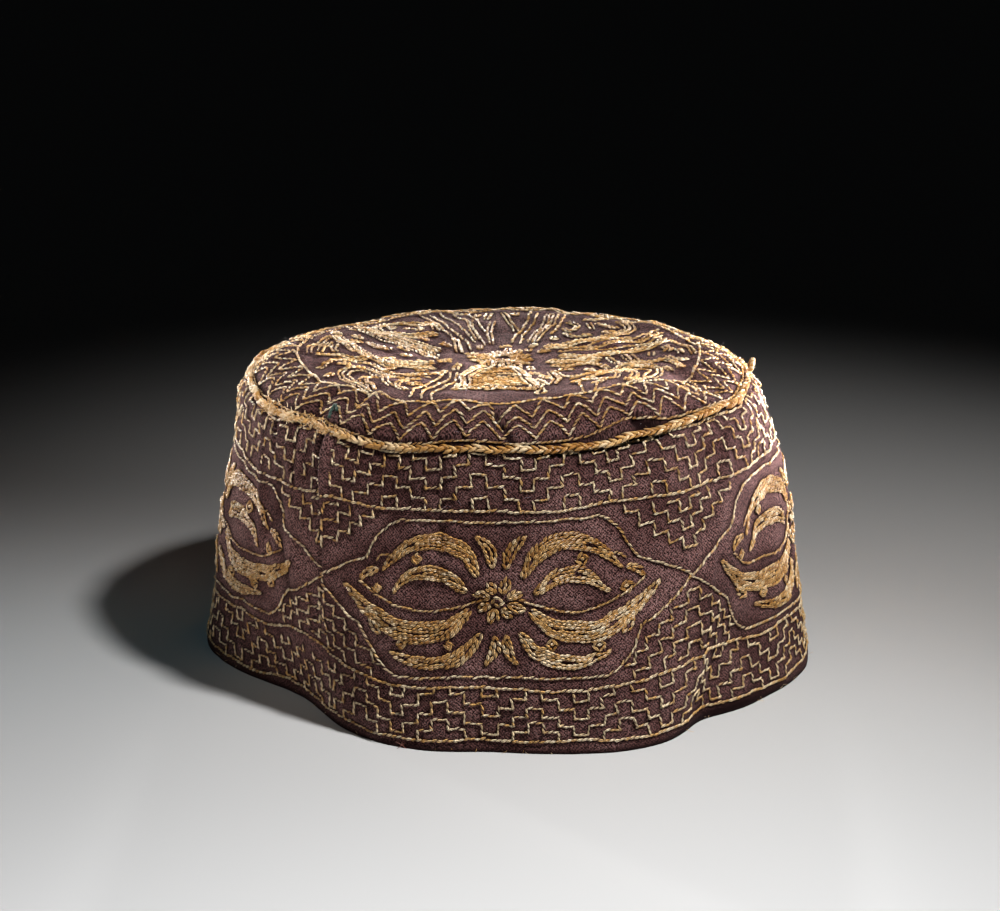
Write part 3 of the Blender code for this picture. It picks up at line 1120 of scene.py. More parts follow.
def crown_face(flat, lift=0.0):
    """Points and normals of the crown's outer face from places on its plan, in mm."""
    ground = np.concatenate((flat * MM, crown_height(flat)[..., None]), -1)
    right = crown_height(flat + (PLAN_STEP, 0.0)) - crown_height(flat - (PLAN_STEP, 0.0))
    back = crown_height(flat + (0.0, PLAN_STEP)) - crown_height(flat - (0.0, PLAN_STEP))
    span = 2.0 * PLAN_STEP * MM
    normals = unit(np.stack((-right / span, -back / span, np.ones_like(right)), -1))
    _, share = crown_turn_and_share(flat)
    calm = np.clip((1.0 - share) / CROWN_TUCKED, CROWN_LEAST_RUMPLE, 1.0)
    relief = ripples(ground, CROWN_RUMPLES) * calm + crease_relief(flat, CROWN_CREASES) * calm + lift
    return ground + normals * relief[..., None] + AXIS, normals


# The pattern on the crown: three zigzags between two rings at its edge, and a round medallion of
# curved leaves that spring from its middle.
ZIGZAGS = 47
ZigzagRow = namedtuple("ZigzagRow", "inner outer")
ZIGZAG_ROWS = (ZigzagRow(62.2, 67.8), ZigzagRow(66.7, 71.4), ZigzagRow(70.1, 73.8))
RING_LINE = 61.8
EDGE_LINE = 74.3
SEAM_RADIUS = 75.0
BOW_ANGLE = 30.0
BOW_WIDTH = 7.0
BOW = 1.5


def ring_point(angle, radius):
    """A place on the plan at a radius, which follows the seam's own outline."""
    edge = band_shape(angle, SEAM_HEIGHT)[..., :2] / MM
    return edge * (np.asarray(radius)[..., None] / SEAM_RADIUS)


def bowed(angle, radius):
    """The outer rows draw in from the seam at the right front."""
    share = (radius - RING_LINE) / (EDGE_LINE - RING_LINE)
    return radius - BOW * hump(turned(angle, BOW_ANGLE), BOW_WIDTH) * share


def zigzag_runs():
    """The zigzags, each leg a row of its own."""
    runs = []
    for row in ZIGZAG_ROWS:
        for number in range(2 * ZIGZAGS):
            turns = np.array((number, number + 1)) * 180.0 / ZIGZAGS
            slant = 1.0 if number % 2 else -1.0
            radii = np.array((row.inner, row.outer))[::int(slant)]
            runs.append(Run(ring_point(turns, bowed(turns, radii)), LINE_WIDTH, 0.75, slant))
    return runs


def crown_ring(radius, width, shade):
    """A ring of stitches near the crown's edge."""
    turns = np.linspace(-180.0, 180.0, 240)
    return Run(ring_point(turns, bowed(turns, np.full_like(turns, radius))), width, shade)


# Charted strokes, in mm on the plan, x to the right and y to the back: how many rows of stitches
# lie side by side, how pale they are, and the points that they pass
Stroke = namedtuple("Stroke", "name rows shade points")
FRONT_LEAF = (
    Stroke("echo", 2, 0.5, ((-15.5, -17), (-18, -22), (-22, -24.4), (-28, -23.4), (-33, -20),
                            (-36, -14.5), (-39, -10.6), (-44, -9.2), (-49, -10), (-52.5, -13),
                            (-54.5, -18))),
    Stroke("short echo", 1, 0.4, ((-20, -27.6), (-26, -26.4), (-31, -24), (-34.2, -19.5))),
    Stroke("body", 2, 0.75, ((-23, -30.5), (-29, -29.6), (-33, -26.5), (-36, -21), (-39.5, -17),
                             (-43, -15.8), (-46.2, -17.2), (-47.2, -21.5), (-46, -28), (-43.4, -35),
                             (-40, -42.5), (-37, -48))),
    Stroke("inner line", 1, 0.6, ((-33, -30), (-36.6, -24.5), (-39.6, -20.8), (-42.8, -19.2),
                                  (-44.4, -21.5), (-43.6, -27), (-41.6, -33))),
    Stroke("heart", 3, 0.25, ((-37.5, -26), (-39.8, -29), (-39.4, -35), (-37.8, -40), (-36, -45))),
    Stroke("seed", 2, 0.8, ((-35, -29), (-34.4, -34.5), (-32, -41))),
    Stroke("lower edge", 2, 0.6, ((-27, -32.5), (-30, -36), (-30.2, -40), (-27, -45))),
    Stroke("small leaf", 3, 0.5, ((-26.6, -37.5), (-24.4, -35), (-21.6, -38.5))),
)
LEFT_LEAVES = (
    Stroke("body", 4, 0.7, ((-19, -12.5), (-27, -12), (-33.5, -9.5), (-37.5, -4), (-41.5, 2), (-45.5, 9),
                            (-49, 16), (-51.5, 22))),
    Stroke("fill", 4, 0.85, ((-33, -6), (-28, -7), (-23, -8.5), (-19.5, -9))),
    Stroke("hook", 2, 0.35, ((-52.4, 21), (-55, 16), (-57, 9), (-58.4, 2), (-58.4, -4))),
    Stroke("border", 3, 0.75, ((-39, -3), (-44, -5.4), (-50, -4.4), (-56, -5))),
    Stroke("inner line", 1, 0.5, ((-44.6, 0), (-47.6, 7), (-50.6, 14))),
    Stroke("ochre heart", 2, 0.15, ((-55.4, -1), (-55, 6), (-53.4, 13))),
    Stroke("heart", 2, 0.5, ((-50, -0.5), (-51.6, 5), (-51.4, 10))),
    Stroke("blade one", 1, 0.6, ((-18, 1), (-24.5, 8), (-32.5, 16.5), (-41, 26), (-47.5, 31.5))),
    Stroke("blade two", 1, 0.6, ((-18, 3.6), (-24.6, 10.8), (-33, 19.6), (-46, 33.4))),
    Stroke("blade three", 2, 0.5, ((-18.4, 7), (-25.6, 13.8), (-34.6, 23.4), (-44, 34.6))),
    Stroke("blade four", 4, 0.7, ((-18.6, 12), (-25, 17), (-33, 25), (-40, 32.6), (-43, 40))),
    Stroke("ochre seed", 3, 0.05, ((-34, 6.5), (-37.6, 12), (-40.6, 18.4))),
    Stroke("curled leaf", 4, 0.8, ((-20, 28), (-26, 26.6), (-32, 27.6), (-37.5, 31), (-39.8, 36.5),
                                   (-37, 42), (-31, 44.6), (-25, 43), (-21, 38), (-19.4, 33))),
    Stroke("curled leaf's seed", 3, 0.7, ((-26.6, 39), (-25.6, 35.6), (-26, 32))),
    Stroke("small leaf", 2, 0.6, ((-13, 12), (-14, 18), (-14.8, 24.5))),
)
BACK_BLADES = (
    Stroke("left one", 1, 0.6, ((-12, 12), (-14.4, 22), (-18, 32), (-21, 41), (-24, 50), (-27, 56))),
    Stroke("left two", 1, 0.6, ((-9.6, 14), (-12, 24), (-15.4, 33), (-19, 43), (-23, 54))),
    Stroke("left three", 1, 0.6, ((-8, 22), (-11, 33), (-14.2, 42), (-17.4, 50), (-20.4, 56.5))),
    Stroke("left gold", 2, 0.2, ((-7, 26), (-8.2, 35), (-9.4, 44))),
    Stroke("left four", 1, 0.6, ((-5, 20), (-7, 32), (-10.4, 44), (-14, 53), (-15.8, 57))),
    Stroke("left five", 1, 0.5, ((-4.6, 34), (-7.4, 46), (-11, 57))),
    Stroke("middle chain", 2, 0.3, ((-2.4, 22), (-3, 30), (-2, 44))),
    Stroke("middle seed", 3, 0.7, ((-3, 57), (-3.6, 48))),
    Stroke("right one", 1, 0.7, ((3, 22), (5, 32), (7, 42), (9, 52), (10, 57))),
    Stroke("right two", 1, 0.6, ((5.6, 20), (7.2, 32), (9.6, 44), (12, 55))),
    Stroke("right gold", 2, 0.3, ((9, 21), (11, 32), (13.2, 42), (15.6, 54))),
    Stroke("right pale", 2, 0.6, ((11, 21), (13.2, 32), (15.4, 42), (18, 53.5))),
    Stroke("right three", 1, 0.4, ((15.8, 27), (16.8, 34), (17.8, 42), (20.4, 52))),
    Stroke("right cross", 2, 0.6, ((1, 56), (3.6, 45), (5, 37))),
)
RIGHT_LEAVES = (
    Stroke("back body", 4, 0.7, ((14, 11), (20, 16), (27, 19), (33, 23), (38, 27), (41, 31.5),
                                 (41.4, 37), (39, 42))),
    Stroke("chain one", 1, 0.65, ((17, 10.4), (25, 13.4), (33, 16.8), (41, 20), (45.4, 25), (50, 32))),
    Stroke("chain two", 2, 0.5, ((20, 9.4), (29, 10.6), (37, 14), (43, 17), (50.4, 27))),
    Stroke("chain three", 1, 0.6, ((18, 7), (25, 6.4), (32, 7.6), (39, 10), (44, 13.5), (50.6, 23.6))),
    Stroke("body", 4, 0.8, ((18, 2), (27, 0), (35, 1.2), (40, 4), (44.4, 8.5), (48.4, 13), (52, 19.4))),
    Stroke("hook", 2, 0.35, ((53, 18), (55.6, 11), (57.8, 4), (58.6, -4))),
    Stroke("gold seed", 3, 0.25, ((50, 8), (51.4, 4), (50, -0.6))),
    Stroke("seed", 2, 0.6, ((46, 3.6), (45.4, -2))),
    Stroke("pale seed", 3, 0.8, ((53.2, 2), (54.6, -3))),
    Stroke("pale hook", 2, 0.9, ((56.6, -8), (54.6, -9.4), (52.6, -8))),
    Stroke("ochre fill", 4, 0.0, ((38.6, -1), (40.2, -6), (43, -11), (45.6, -15.4))),
    Stroke("ochre stem", 2, 0.05, ((49.6, -5.6), (52.6, -11.6), (55.6, -17))),
    Stroke("pale edge", 2, 0.9, ((33, -3.4), (35.5, -8), (39, -12.6), (43, -17.4))),
    Stroke("fill", 5, 0.7, ((14.6, -2.4), (20, -4.6), (26, -4), (31, -4.6))),
    Stroke("fill below", 3, 0.5, ((15.4, -8.6), (20, -9.6), (26, -9), (30, -11), (33, -14))),
    Stroke("small c", 2, 0.8, ((19.4, 36), (21.2, 32.8), (24, 36), (23.6, 41), (21, 44.4))),
    Stroke("small bar", 2, 0.85, ((19.8, 29), (23.6, 26.6), (28.6, 27.6))),
    Stroke("back bar", 3, 0.85, ((26.4, 45.4), (30.6, 44.4), (34.6, 46.6))),
    Stroke("wedge", 3, 0.6, ((31, 40), (34, 36), (37.4, 33.4))),
    Stroke("stick", 2, 0.6, ((28.2, 40.4), (29, 33))),
)
FRONT_STEMS = (
    Stroke("left one", 1, 0.6, ((-14, -19), (-15, -28), (-18, -35), (-20.4, -41), (-22, -47),
                                (-22.8, -54.6))),
    Stroke("left two", 1, 0.7, ((-12, -19), (-13, -29), (-16, -38), (-18.4, -46), (-19.6, -56.6))),
    Stroke("left three", 1, 0.5, ((-16.4, -23), (-19, -31), (-22.4, -38.5), (-24.8, -45), (-26, -52))),
    Stroke("right leaf", 3, 0.45, ((15, -18), (16.8, -27), (15.8, -38))),
    Stroke("pale leaf", 3, 0.9, ((10.8, -29), (12, -34.5), (13.6, -39.4))),
    Stroke("curl", 1, 0.8, ((12.8, -40), (11.8, -46), (10.8, -51), (11.8, -54.4), (13, -51),
                            (12.4, -46))),
    Stroke("right stem", 1, 0.5, ((23.6, -37), (23.6, -46), (23.8, -55.4))),
    Stroke("right short stem", 1, 0.5, ((27.6, -44), (27.6, -49), (27.2, -54))),
)
# The front leaf's outline: half its width at each reach from the crown's middle, and its own middle
PALMETTE_REACH = (10.0, 16.0, 24.0, 32.0, 39.0, 43.0)
PALMETTE_HALF = (4.5, 7.4, 9.6, 10.2, 11.6, 11.8)
PALMETTE_MIDDLE = -1.2
PALMETTE_INSETS = (0.0, 0.9, 2.6)
PALMETTE_BARS = np.concatenate((np.arange(12.0, 25.0, 2.1), np.arange(25.0, 41.0, 1.15)))
BAR_CLEAR = 3.2
BAR_SAG = 0.8
SCALLOPS = 6
SCALLOP_PITCH = 4.0
SCALLOP_REACH = 42.8
SCALLOP_SIZES = (1.9, 1.0)


def palmette_runs():
    """The front leaf: a vase shape with bars across it, filled below, and with a scalloped end."""
    runs = []
    reach = np.linspace(PALMETTE_REACH[0], PALMETTE_REACH[-1], 40)
    for inset in PALMETTE_INSETS:
        half = smooth_table(reach, PALMETTE_REACH, PALMETTE_HALF) - inset
        for side in (-1.0, 1.0):
            edge = np.stack((side * half + PALMETTE_MIDDLE, -reach), -1)
            runs.append(Run(edge, FILL_WIDTH, 0.75, side))
    for number, bar in enumerate(PALMETTE_BARS):
        half = smooth_table(np.array([bar]), PALMETTE_REACH, PALMETTE_HALF)[0] - BAR_CLEAR
        corners = ((-half, -bar), (0.0, -bar - BAR_SAG), (half, -bar))
        row = np.array(corners) + (PALMETTE_MIDDLE, 0.0)
        runs.append(Run(row, STROKE_WIDTH, 0.15 + 0.4 * (number % 3) / 2.0, 1.0 if number % 2 else -1.0))
    turn = np.linspace(0.0, math.pi, 8)
    for scallop in range(SCALLOPS):
        middle = (scallop - (SCALLOPS - 1) / 2.0) * SCALLOP_PITCH + PALMETTE_MIDDLE
        for size in SCALLOP_SIZES:
            x = middle + size * np.cos(turn)
            y = -SCALLOP_REACH - size * 1.5 * np.sin(turn)
            runs.append(Run(np.stack((x, y), -1), FILL_WIDTH, 0.65))
    return runs


WHORL_PETALS = 14
PETAL_SPINE = (2.6, 6.5, 11.0)
PETAL_WIDTH = 3.2


def whorl_runs():
    """Petals round the crown's middle."""
    runs = []
    for number in range(WHORL_PETALS):
        way = direction(2.0 * math.pi * number / WHORL_PETALS)
        spine = [way * reach for reach in PETAL_SPINE]
        runs += leaf_runs(spine, PETAL_WIDTH, 0.15 + 0.6 * (number % 3) / 2.0, 0.8)
    return runs


# Small seeds fill the gaps: how often one is tried, how far out, and how far from strokes and seeds
SEED_TRIES = 900
SEED_REACH = 57.0
SEED_FROM_STROKES = 2.6
SEED_FROM_SEEDS = 5.4
SEED_HALF = 2.4
SEED_WIDTH = 2.2
# No seeds lie among the front stems: half the width of that stretch, and where it begins
STEMS_HALF = 34.0
STEMS_FROM = -42.0


def seed_runs(taken):
    """Small seeds in the gaps that the charted strokes leave."""
    tree = search_tree(np.pad(taken, ((0, 0), (0, 1))))
    dice = np.random.default_rng(31)
    runs, used = [], []
    for _ in range(SEED_TRIES):
        turn = dice.uniform(0.0, 2.0 * math.pi)
        middle = direction(turn) * (SEED_REACH * math.sqrt(dice.uniform(0.04, 1.0)))
        lean = turn + dice.uniform(-0.9, 0.9)
        if abs(middle[0]) < STEMS_HALF and middle[1] < STEMS_FROM:
            continue
        if tree.find((*middle, 0.0))[2] < SEED_FROM_STROKES:
            continue
        if used and min(np.linalg.norm(middle - other) for other in used) < SEED_FROM_SEEDS:
            continue
        used.append(middle)
        way = direction(lean)
        bend = np.array((-way[1], way[0])) * dice.uniform(-1.2, 1.2)
        spine = [middle - way * SEED_HALF, middle + bend, middle + way * SEED_HALF]
        runs += leaf_runs(spine, SEED_WIDTH, dice.uniform(0.2, 0.9))
    return runs


def charted_runs():
    """All the charted strokes; the front leaf comes a second time, mirrored."""
    whole = FRONT_LEAF + LEFT_LEAVES + BACK_BLADES + RIGHT_LEAVES + FRONT_STEMS
    charted = [(stroke, 1.0) for stroke in whole]
    charted += [(stroke, -1.0) for stroke in FRONT_LEAF]
    runs = []
    for stroke, side in charted:
        points = [(x * side, y) for x, y in stroke.points]
        runs += stroke_runs(points, stroke.rows, stroke.shade)
    return runs


zigzag_stitch_runs = zigzag_runs() + [crown_ring(RING_LINE, 0.8, 0.8), crown_ring(EDGE_LINE, 0.6, 0.5)]
medallion_runs = charted_runs() + palmette_runs() + whorl_runs()
medallion_runs += seed_runs(dense(medallion_runs, 2.0))


def crown_grid(columns, rows):
    """Places on the crown's plan, from the seam to its middle, and how far out each lies."""
    across, inwards = skin_grid(columns, rows, 0.0, 1.0)
    share = CROWN_EDGE * (1.0 - inwards ** RING_CLOSING) + FAN_SHARE * inwards
    return ring_point(across * 360.0, share * SEAM_RADIUS), share


crown_flat, crown_share = crown_grid(CROWN_COLUMNS, CROWN_ROWS)
crown_outer, crown_normals = crown_face(crown_flat)
stitched_places, _ = crown_face(dense(zigzag_stitch_runs + medallion_runs))
crown_outer, crown_pull = pulled(crown_outer, crown_normals, stitched_places)
inner_flat, _ = crown_grid(CROWN_COLUMNS // 2, CROWN_ROWS // 2)
inner_points, inner_normals = crown_face(inner_flat)
crown_inner = inner_points - inner_normals * CLOTH
top_points, top_normals = crown_face(np.zeros((1, 2)))
crown_caps = (top_points[0], top_points[0] - top_normals[0] * CLOTH)
crown_mesh, _ = cloth_mesh("crown_cloth", crown_outer, crown_inner, crown_caps)
crown_corners = np.zeros(len(crown_mesh.loops), int)
crown_mesh.loops.foreach_get("vertex_index", crown_corners)
crown_points = np.concatenate((crown_outer.reshape(-1, 3), crown_inner.reshape(-1, 3), crown_caps))
set_uv(crown_mesh, crown_points[crown_corners][:, :2] / MM)

crown_worn = 0.8 * worn_places(crown_outer - AXIS, crown_pull, 0.0)
set_cloth_attribute(crown_mesh, "worn", crown_worn, 0.4)
# Painted shade: darker in the groove at the crown's edge beside the cord, beside the stitches and in the
# creases; the inner skin gets an even painted shade
crown_painted_shade = 0.6 * hump(crown_share - CROWN_EDGE, 0.018)
crown_painted_shade = crown_painted_shade + painted_hollow_shade(crown_flat, crown_pull, CROWN_CREASES, 0.9, 0.0022)
set_cloth_attribute(crown_mesh, "dark", np.minimum(crown_painted_shade, 1.0), 0.3)
crown_mesh.materials.append(cotton)
crown_cloth = piece_of("crown_cloth", crown_mesh)
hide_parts("crown")


# The embroidery: rows of chain stitch in gold, ochre and cream thread. Each stitch is one small loop
# of two strands with a hollow between them, and each loop starts inside the one before it.
STITCH_LENGTH = 1.55
STITCH_HEIGHT = 0.50
STITCH_SLANT = 0.26
STITCH_SEAT = 0.00012


def stitch_shape():
    """One chain stitch, 1 long and 1 wide: two strands that part and close again."""
    stations = ((0.08, 0.24, 0.46), (0.50, 0.49, 1.0), (0.98, 0.30, 0.66))
    profile = ((-1.0, 0.0), (-0.58, 1.0), (0.03, 0.28), (0.62, 0.94), (1.0, 0.0))
    points = [(-0.22, 0.0, 0.0)]
    for at, half, rise in stations:
        points += [(at, side * half, rise * lift) for side, lift in profile]
    points.append((1.36, 0.0, 0.15))
    last = len(points) - 1
    faces = []
    ring = len(profile)
    for corner in range(ring):
        following = (corner + 1) % ring
        faces.append((0, 1 + following, 1 + corner))
        for station in range(len(stations) - 1):
            a = 1 + station * ring
            b = a + ring
            faces.append((a + corner, a + following, b + following, b + corner))
        tail = 1 + (len(stations) - 1) * ring
        faces.append((tail + corner, tail + following, last))
    mesh = bpy.data.meshes.new("one chain stitch")
    mesh.from_pydata(points, [], faces)
    mesh.shade_smooth()
    set_uv(mesh, np.array([points[loop.vertex_index][:2] for loop in mesh.loops]))
    return put("one chain stitch", mesh)


def field(tree, name, kind="FLOAT"):
    """Read an attribute of the path."""
    node = add_node(tree, "GeometryNodeInputNamedAttribute", data_type=kind, Name=name)
    return node.outputs["Attribute"]


def random_between(tree, low, high, seed):
    """A random number for each stitch, the same each run."""
    node = add_node(tree, "FunctionNodeRandomValue", data_type="FLOAT", Seed=seed)
    node.inputs[2].default_value = low
    node.inputs[3].default_value = high
    return node.outputs[1]


STITCHING_INPUTS = {
    "Paths": "Geometry",
    "Stitch": "Object",
    "Spacing": "Float",
    "Height": "Float",
    "Slant": "Float",
    "Unevenness": "Float",
    "Thread": "Material",
}


def stitching_tree():
    """Set one stitch after another along every path, each turned to its path and to the cloth."""
    tree = bpy.data.node_groups.new("rows of stitches", "GeometryNodeTree")
    for input_name, kind in STITCHING_INPUTS.items():
        tree.interface.new_socket(input_name, in_out="INPUT", socket_type="NodeSocket" + kind)
    tree.interface.new_socket("Stitches", in_out="OUTPUT", socket_type="NodeSocketGeometry")
    given = tree.nodes.new("NodeGroupInput")
    made = tree.nodes.new("NodeGroupOutput")
    join = tree.links.new

    to_curve = tree.nodes.new("GeometryNodeMeshToCurve")
    join(given.outputs["Paths"], to_curve.inputs["Mesh"])
    length = tree.nodes.new("GeometryNodeSplineLength")
    wanted = maths(tree, "DIVIDE", length.outputs["Length"], given.outputs["Spacing"])
    wanted = maths(tree, "MAXIMUM", maths(tree, "ROUND", wanted), 1.0)
    resample = add_node(tree, "GeometryNodeResampleCurve", mode="COUNT")
    join(to_curve.outputs["Curve"], resample.inputs["Curve"])
    join(maths(tree, "ADD", wanted, 1.0), resample.inputs["Count"])

    tone = add_node(tree, "GeometryNodeStoreNamedAttribute", data_type="FLOAT", domain="POINT", Name="tone")
    join(resample.outputs["Curve"], tone.inputs["Geometry"])
    join(random_between(tree, 0.0, 1.0, 3), tone.inputs["Value"])

    spacing = maths(tree, "SUBTRACT", length.outputs["Point Count"], 1.0)
    spacing = maths(tree, "DIVIDE", length.outputs["Length"], spacing)
    tangent = tree.nodes.new("GeometryNodeInputTangent")
    along = add_node(tree, "FunctionNodeAlignRotationToVector", axis="X")
    join(tangent.outputs["Tangent"], along.inputs["Vector"])
    upright = add_node(tree, "FunctionNodeAlignRotationToVector", axis="Z", pivot_axis="X")
    join(along.outputs["Rotation"], upright.inputs["Rotation"])
    join(field(tree, "normal", "FLOAT_VECTOR"), upright.inputs["Vector"])
    size = tree.nodes.new("ShaderNodeCombineXYZ")
    uneven = maths(tree, "MULTIPLY", random_between(tree, -1.0, 1.0, 5), given.outputs["Unevenness"])
    widen = maths(tree, "MULTIPLY", field(tree, "width"), maths(tree, "ADD", uneven, 1.0))
    join(spacing, size.inputs[0])
    join(widen, size.inputs[1])
    stretch = maths(tree, "ADD", maths(tree, "MULTIPLY", uneven, 1.4), 1.0)
    raised = maths(tree, "MULTIPLY", given.outputs["Height"], stretch)
    join(raised, size.inputs[2])

    last = add_node(tree, "GeometryNodeCurveEndpointSelection", Start_Size=0, End_Size=1)
    wanted_points = add_node(tree, "FunctionNodeBooleanMath", operation="NOT")
    join(last.outputs["Selection"], wanted_points.inputs[0])
    stitch = tree.nodes.new("GeometryNodeObjectInfo")
    join(given.outputs["Stitch"], stitch.inputs["Object"])
    place = tree.nodes.new("GeometryNodeInstanceOnPoints")
    join(tone.outputs["Geometry"], place.inputs["Points"])
    join(wanted_points.outputs[0], place.inputs["Selection"])
    join(stitch.outputs["Geometry"], place.inputs["Instance"])
    join(upright.outputs["Rotation"], place.inputs["Rotation"])
    join(size.outputs[0], place.inputs["Scale"])

    turn = tree.nodes.new("GeometryNodeRotateInstances")
    yaw = tree.nodes.new("ShaderNodeCombineXYZ")
    swing = maths(tree, "MULTIPLY", random_between(tree, -1.0, 1.0, 7), given.outputs["Unevenness"])
    lean = maths(tree, "MULTIPLY", field(tree, "slant"), given.outputs["Slant"])
    swing = maths(tree, "ADD", swing, lean)
    roll = maths(tree, "MULTIPLY", random_between(tree, -2.5, 2.5, 9), given.outputs["Unevenness"])
    join(roll, yaw.inputs[0])
    join(swing, yaw.inputs[2])
    join(place.outputs["Instances"], turn.inputs["Instances"])
    join(yaw.outputs[0], turn.inputs["Rotation"])
    real = tree.nodes.new("GeometryNodeRealizeInstances")
    join(turn.outputs["Instances"], real.inputs["Geometry"])
    paint = tree.nodes.new("GeometryNodeSetMaterial")
    join(real.outputs["Geometry"], paint.inputs["Geometry"])
    join(given.outputs["Thread"], paint.inputs["Material"])
    join(paint.outputs["Geometry"], made.inputs["Stitches"])
    return tree


def path_mesh(name, points, normals, counts, widths, shades, slants):
    """Paths as chains of edges that carry the cloth's normal, the row's width, shade and slant."""
    starts = np.cumsum(counts) - counts
    inside = np.ones(len(points), bool)
    inside[starts + counts - 1] = False
    first = np.nonzero(inside)[0]
    mesh = bpy.data.meshes.new(name)
    mesh.from_pydata(points.tolist(), np.stack((first, first + 1), -1).tolist(), [])
    up = mesh.attributes.new("normal", "FLOAT_VECTOR", "POINT")
    up.data.foreach_set("vector", normals.astype(np.float32).ravel())
    set_points_attribute(mesh, "width", np.repeat(widths, counts))
    set_points_attribute(mesh, "shade", np.repeat(shades, counts))
    set_points_attribute(mesh, "slant", np.repeat(slants, counts))
    return mesh


def grown(name, paths, tree, values):
    """Run a node tree on paths and keep the result as a plain mesh."""
    seed_object = put(name + " paths", paths)
    modifier = seed_object.modifiers.new("grow", "NODES")
    modifier.node_group = tree
    for item in tree.interface.items_tree:
        if item.item_type == "SOCKET" and item.in_out == "INPUT" and item.name in values:
            modifier[item.identifier] = values[item.name]
    bpy.context.view_layer.update()
    graph = bpy.context.evaluated_depsgraph_get()
    mesh = bpy.data.meshes.new_from_object(seed_object.evaluated_get(graph))
    seed_object.modifiers.remove(modifier)
    bpy.data.objects.remove(seed_object)
    mesh.name = name
    for spare_name in ("normal", "width", "slant"):
        if spare_name in mesh.attributes:
            mesh.attributes.remove(mesh.attributes[spare_name])
    return mesh


OCHRE = (0.400, 0.170, 0.030, 1.0)
GOLD = (0.700, 0.390, 0.120, 1.0)
CREAM = (1.000, 0.800, 0.520, 1.0)
LOOP_SHADE_AND_CLOTH = (0.035, 0.014, 0.006, 1.0)
THREAD_FINISH = {
    "Roughness": 0.34,
    "Specular IOR Level": 0.6,
    "Sheen Weight": 0.03,
    "Sheen Roughness": 0.4,
    "Sheen Tint": (1.0, 0.86, 0.62, 1.0),
}
# Where one colour of the thread passes into the next, and how far the painted dark of a stitch's hollow
# reaches
OCHRE_TO_GOLD = (0.95, 1.70)
GOLD_TO_CREAM = (1.55, 2.30)
HOLLOW = (0.0, 0.24)
THREAD_BUMP = 0.00012


def thread_material(name, along, over):
    """Soft shiny thread: cream to gold to ochre in patches, with its own twist, and hollows darkened by
    painted shade and the cloth that shows through each loop.
    """
    made, tree, shader = new_material(name)
    place = add_node(tree, "ShaderNodeTexCoord")
    patch = noise(tree, place.outputs["Object"], 70.0, 3.0)
    fine = noise(tree, place.outputs["Object"], 900.0, 2.0)
    tone = attribute(tree, "tone")
    shade = attribute(tree, "shade")
    light = weighted(tree, (patch, 1.2), (tone, 0.9), (shade, 0.7), (fine, 0.4))
    base = mixed(tree, ramp(tree, light, OCHRE_TO_GOLD), OCHRE, GOLD)
    base = mixed(tree, ramp(tree, light, GOLD_TO_CREAM), base, CREAM)
    parts = add_node(tree, "ShaderNodeSeparateXYZ")
    tree.links.new(place.outputs["UV"], parts.inputs[0])
    # The middle of each stitch, between its strands, is darkened: painted shade in the groove, and the dark
    # cloth that shows through the loop
    aside = maths(tree, "ABSOLUTE", parts.outputs[1])
    middle = maths(tree, "SUBTRACT", 1.0, ramp(tree, aside, HOLLOW))
    base = mixed(tree, maths(tree, "MULTIPLY", middle, 0.75), base, LOOP_SHADE_AND_CLOTH)
    tree.links.new(base, shader.inputs["Base Color"])
    fill_in(shader, THREAD_FINISH)
    lay = weighted(tree, (parts.outputs[0], along), (parts.outputs[1], over))
    ply = maths(tree, "ADD", maths(tree, "SINE", lay), fine)
    tree.links.new(bumped(tree, ply, THREAD_BUMP, 0.7), shader.inputs["Normal"])
    return made


gold_thread = thread_material("gold and cream thread", 14.0, 18.0)
chain_stitch = stitch_shape()
stitching = stitching_tree()


def stitched(name, runs, face, stray):
    """Embroider rows on the band or the crown as one piece."""
    rows = [walked(run.points, STITCH_LENGTH) for run in runs]
    counts = np.array([len(row) for row in rows])
    flat = stray(np.concatenate(rows))
    points, normals = face(flat, STITCH_SEAT)
    widths = np.array([run.width for run in runs]) * MM
    shades = np.array([run.shade for run in runs])
    slants = np.array([run.slant for run in runs])
    paths = path_mesh(name, points, normals, counts, widths, shades, slants)
    mesh = grown(name, paths, stitching, {
        "Stitch": chain_stitch,
        "Spacing": STITCH_LENGTH * MM,
        "Height": STITCH_HEIGHT * MM,
        "Slant": STITCH_SLANT,
        "Unevenness": 0.20,
        "Thread": gold_thread,
    })
    return piece_of(name, mesh)


# How the crown's lines stray from their chart, in mm, and how far from the edge they are calmer
STRAY_RIGHT = (Ripple(20.0, 0.40, 15), Ripple(6.0, 0.10, 16))
STRAY_BACK = (Ripple(20.0, 0.40, 17), Ripple(6.0, 0.10, 18))
CALM_RADIUS = SEAM_RADIUS - 1.0
CALM_REACH = 8.0
LEAST_STRAY = 0.2


def crown_stray(flat):
    """The crown's lines stray too, less near its edge."""
    at = np.concatenate((flat, np.zeros(flat.shape[:-1] + (1,))), -1)
    out = flat.copy()
    inwards = CALM_RADIUS - np.hypot(flat[..., 0], flat[..., 1])
    free = np.clip(inwards / CALM_REACH, LEAST_STRAY, 1.0)
    out[..., 0] += ripples(at, STRAY_RIGHT) * free
    out[..., 1] += ripples(at, STRAY_BACK) * free
    return out


stitched("upper_border_stitches", upper_runs, band_face, wandered)
stitched("lower_border_stitches", lower_runs, band_face, wandered)
stitched("cartouche_stitches", middle_runs, band_face, wandered)
stitched("leaf_stitches", leaf_fill_runs, band_face, wandered)
stitched("zigzag_stitches", zigzag_stitch_runs, crown_face, crown_stray)
stitched("medallion_stitches", medallion_runs, crown_face, crown_stray)
bpy.data.objects.remove(chain_stitch)


# The plaited cord that covers the seam: slanted yarns of cream and ochre thread, laid in the groove
# between band and crown and sewn down. At the left corner it is worn flat and frayed.
BRAID_RADIUS = 0.0015
GAP = 0.0003
BRAID_SEAT = 1.6 * GAP
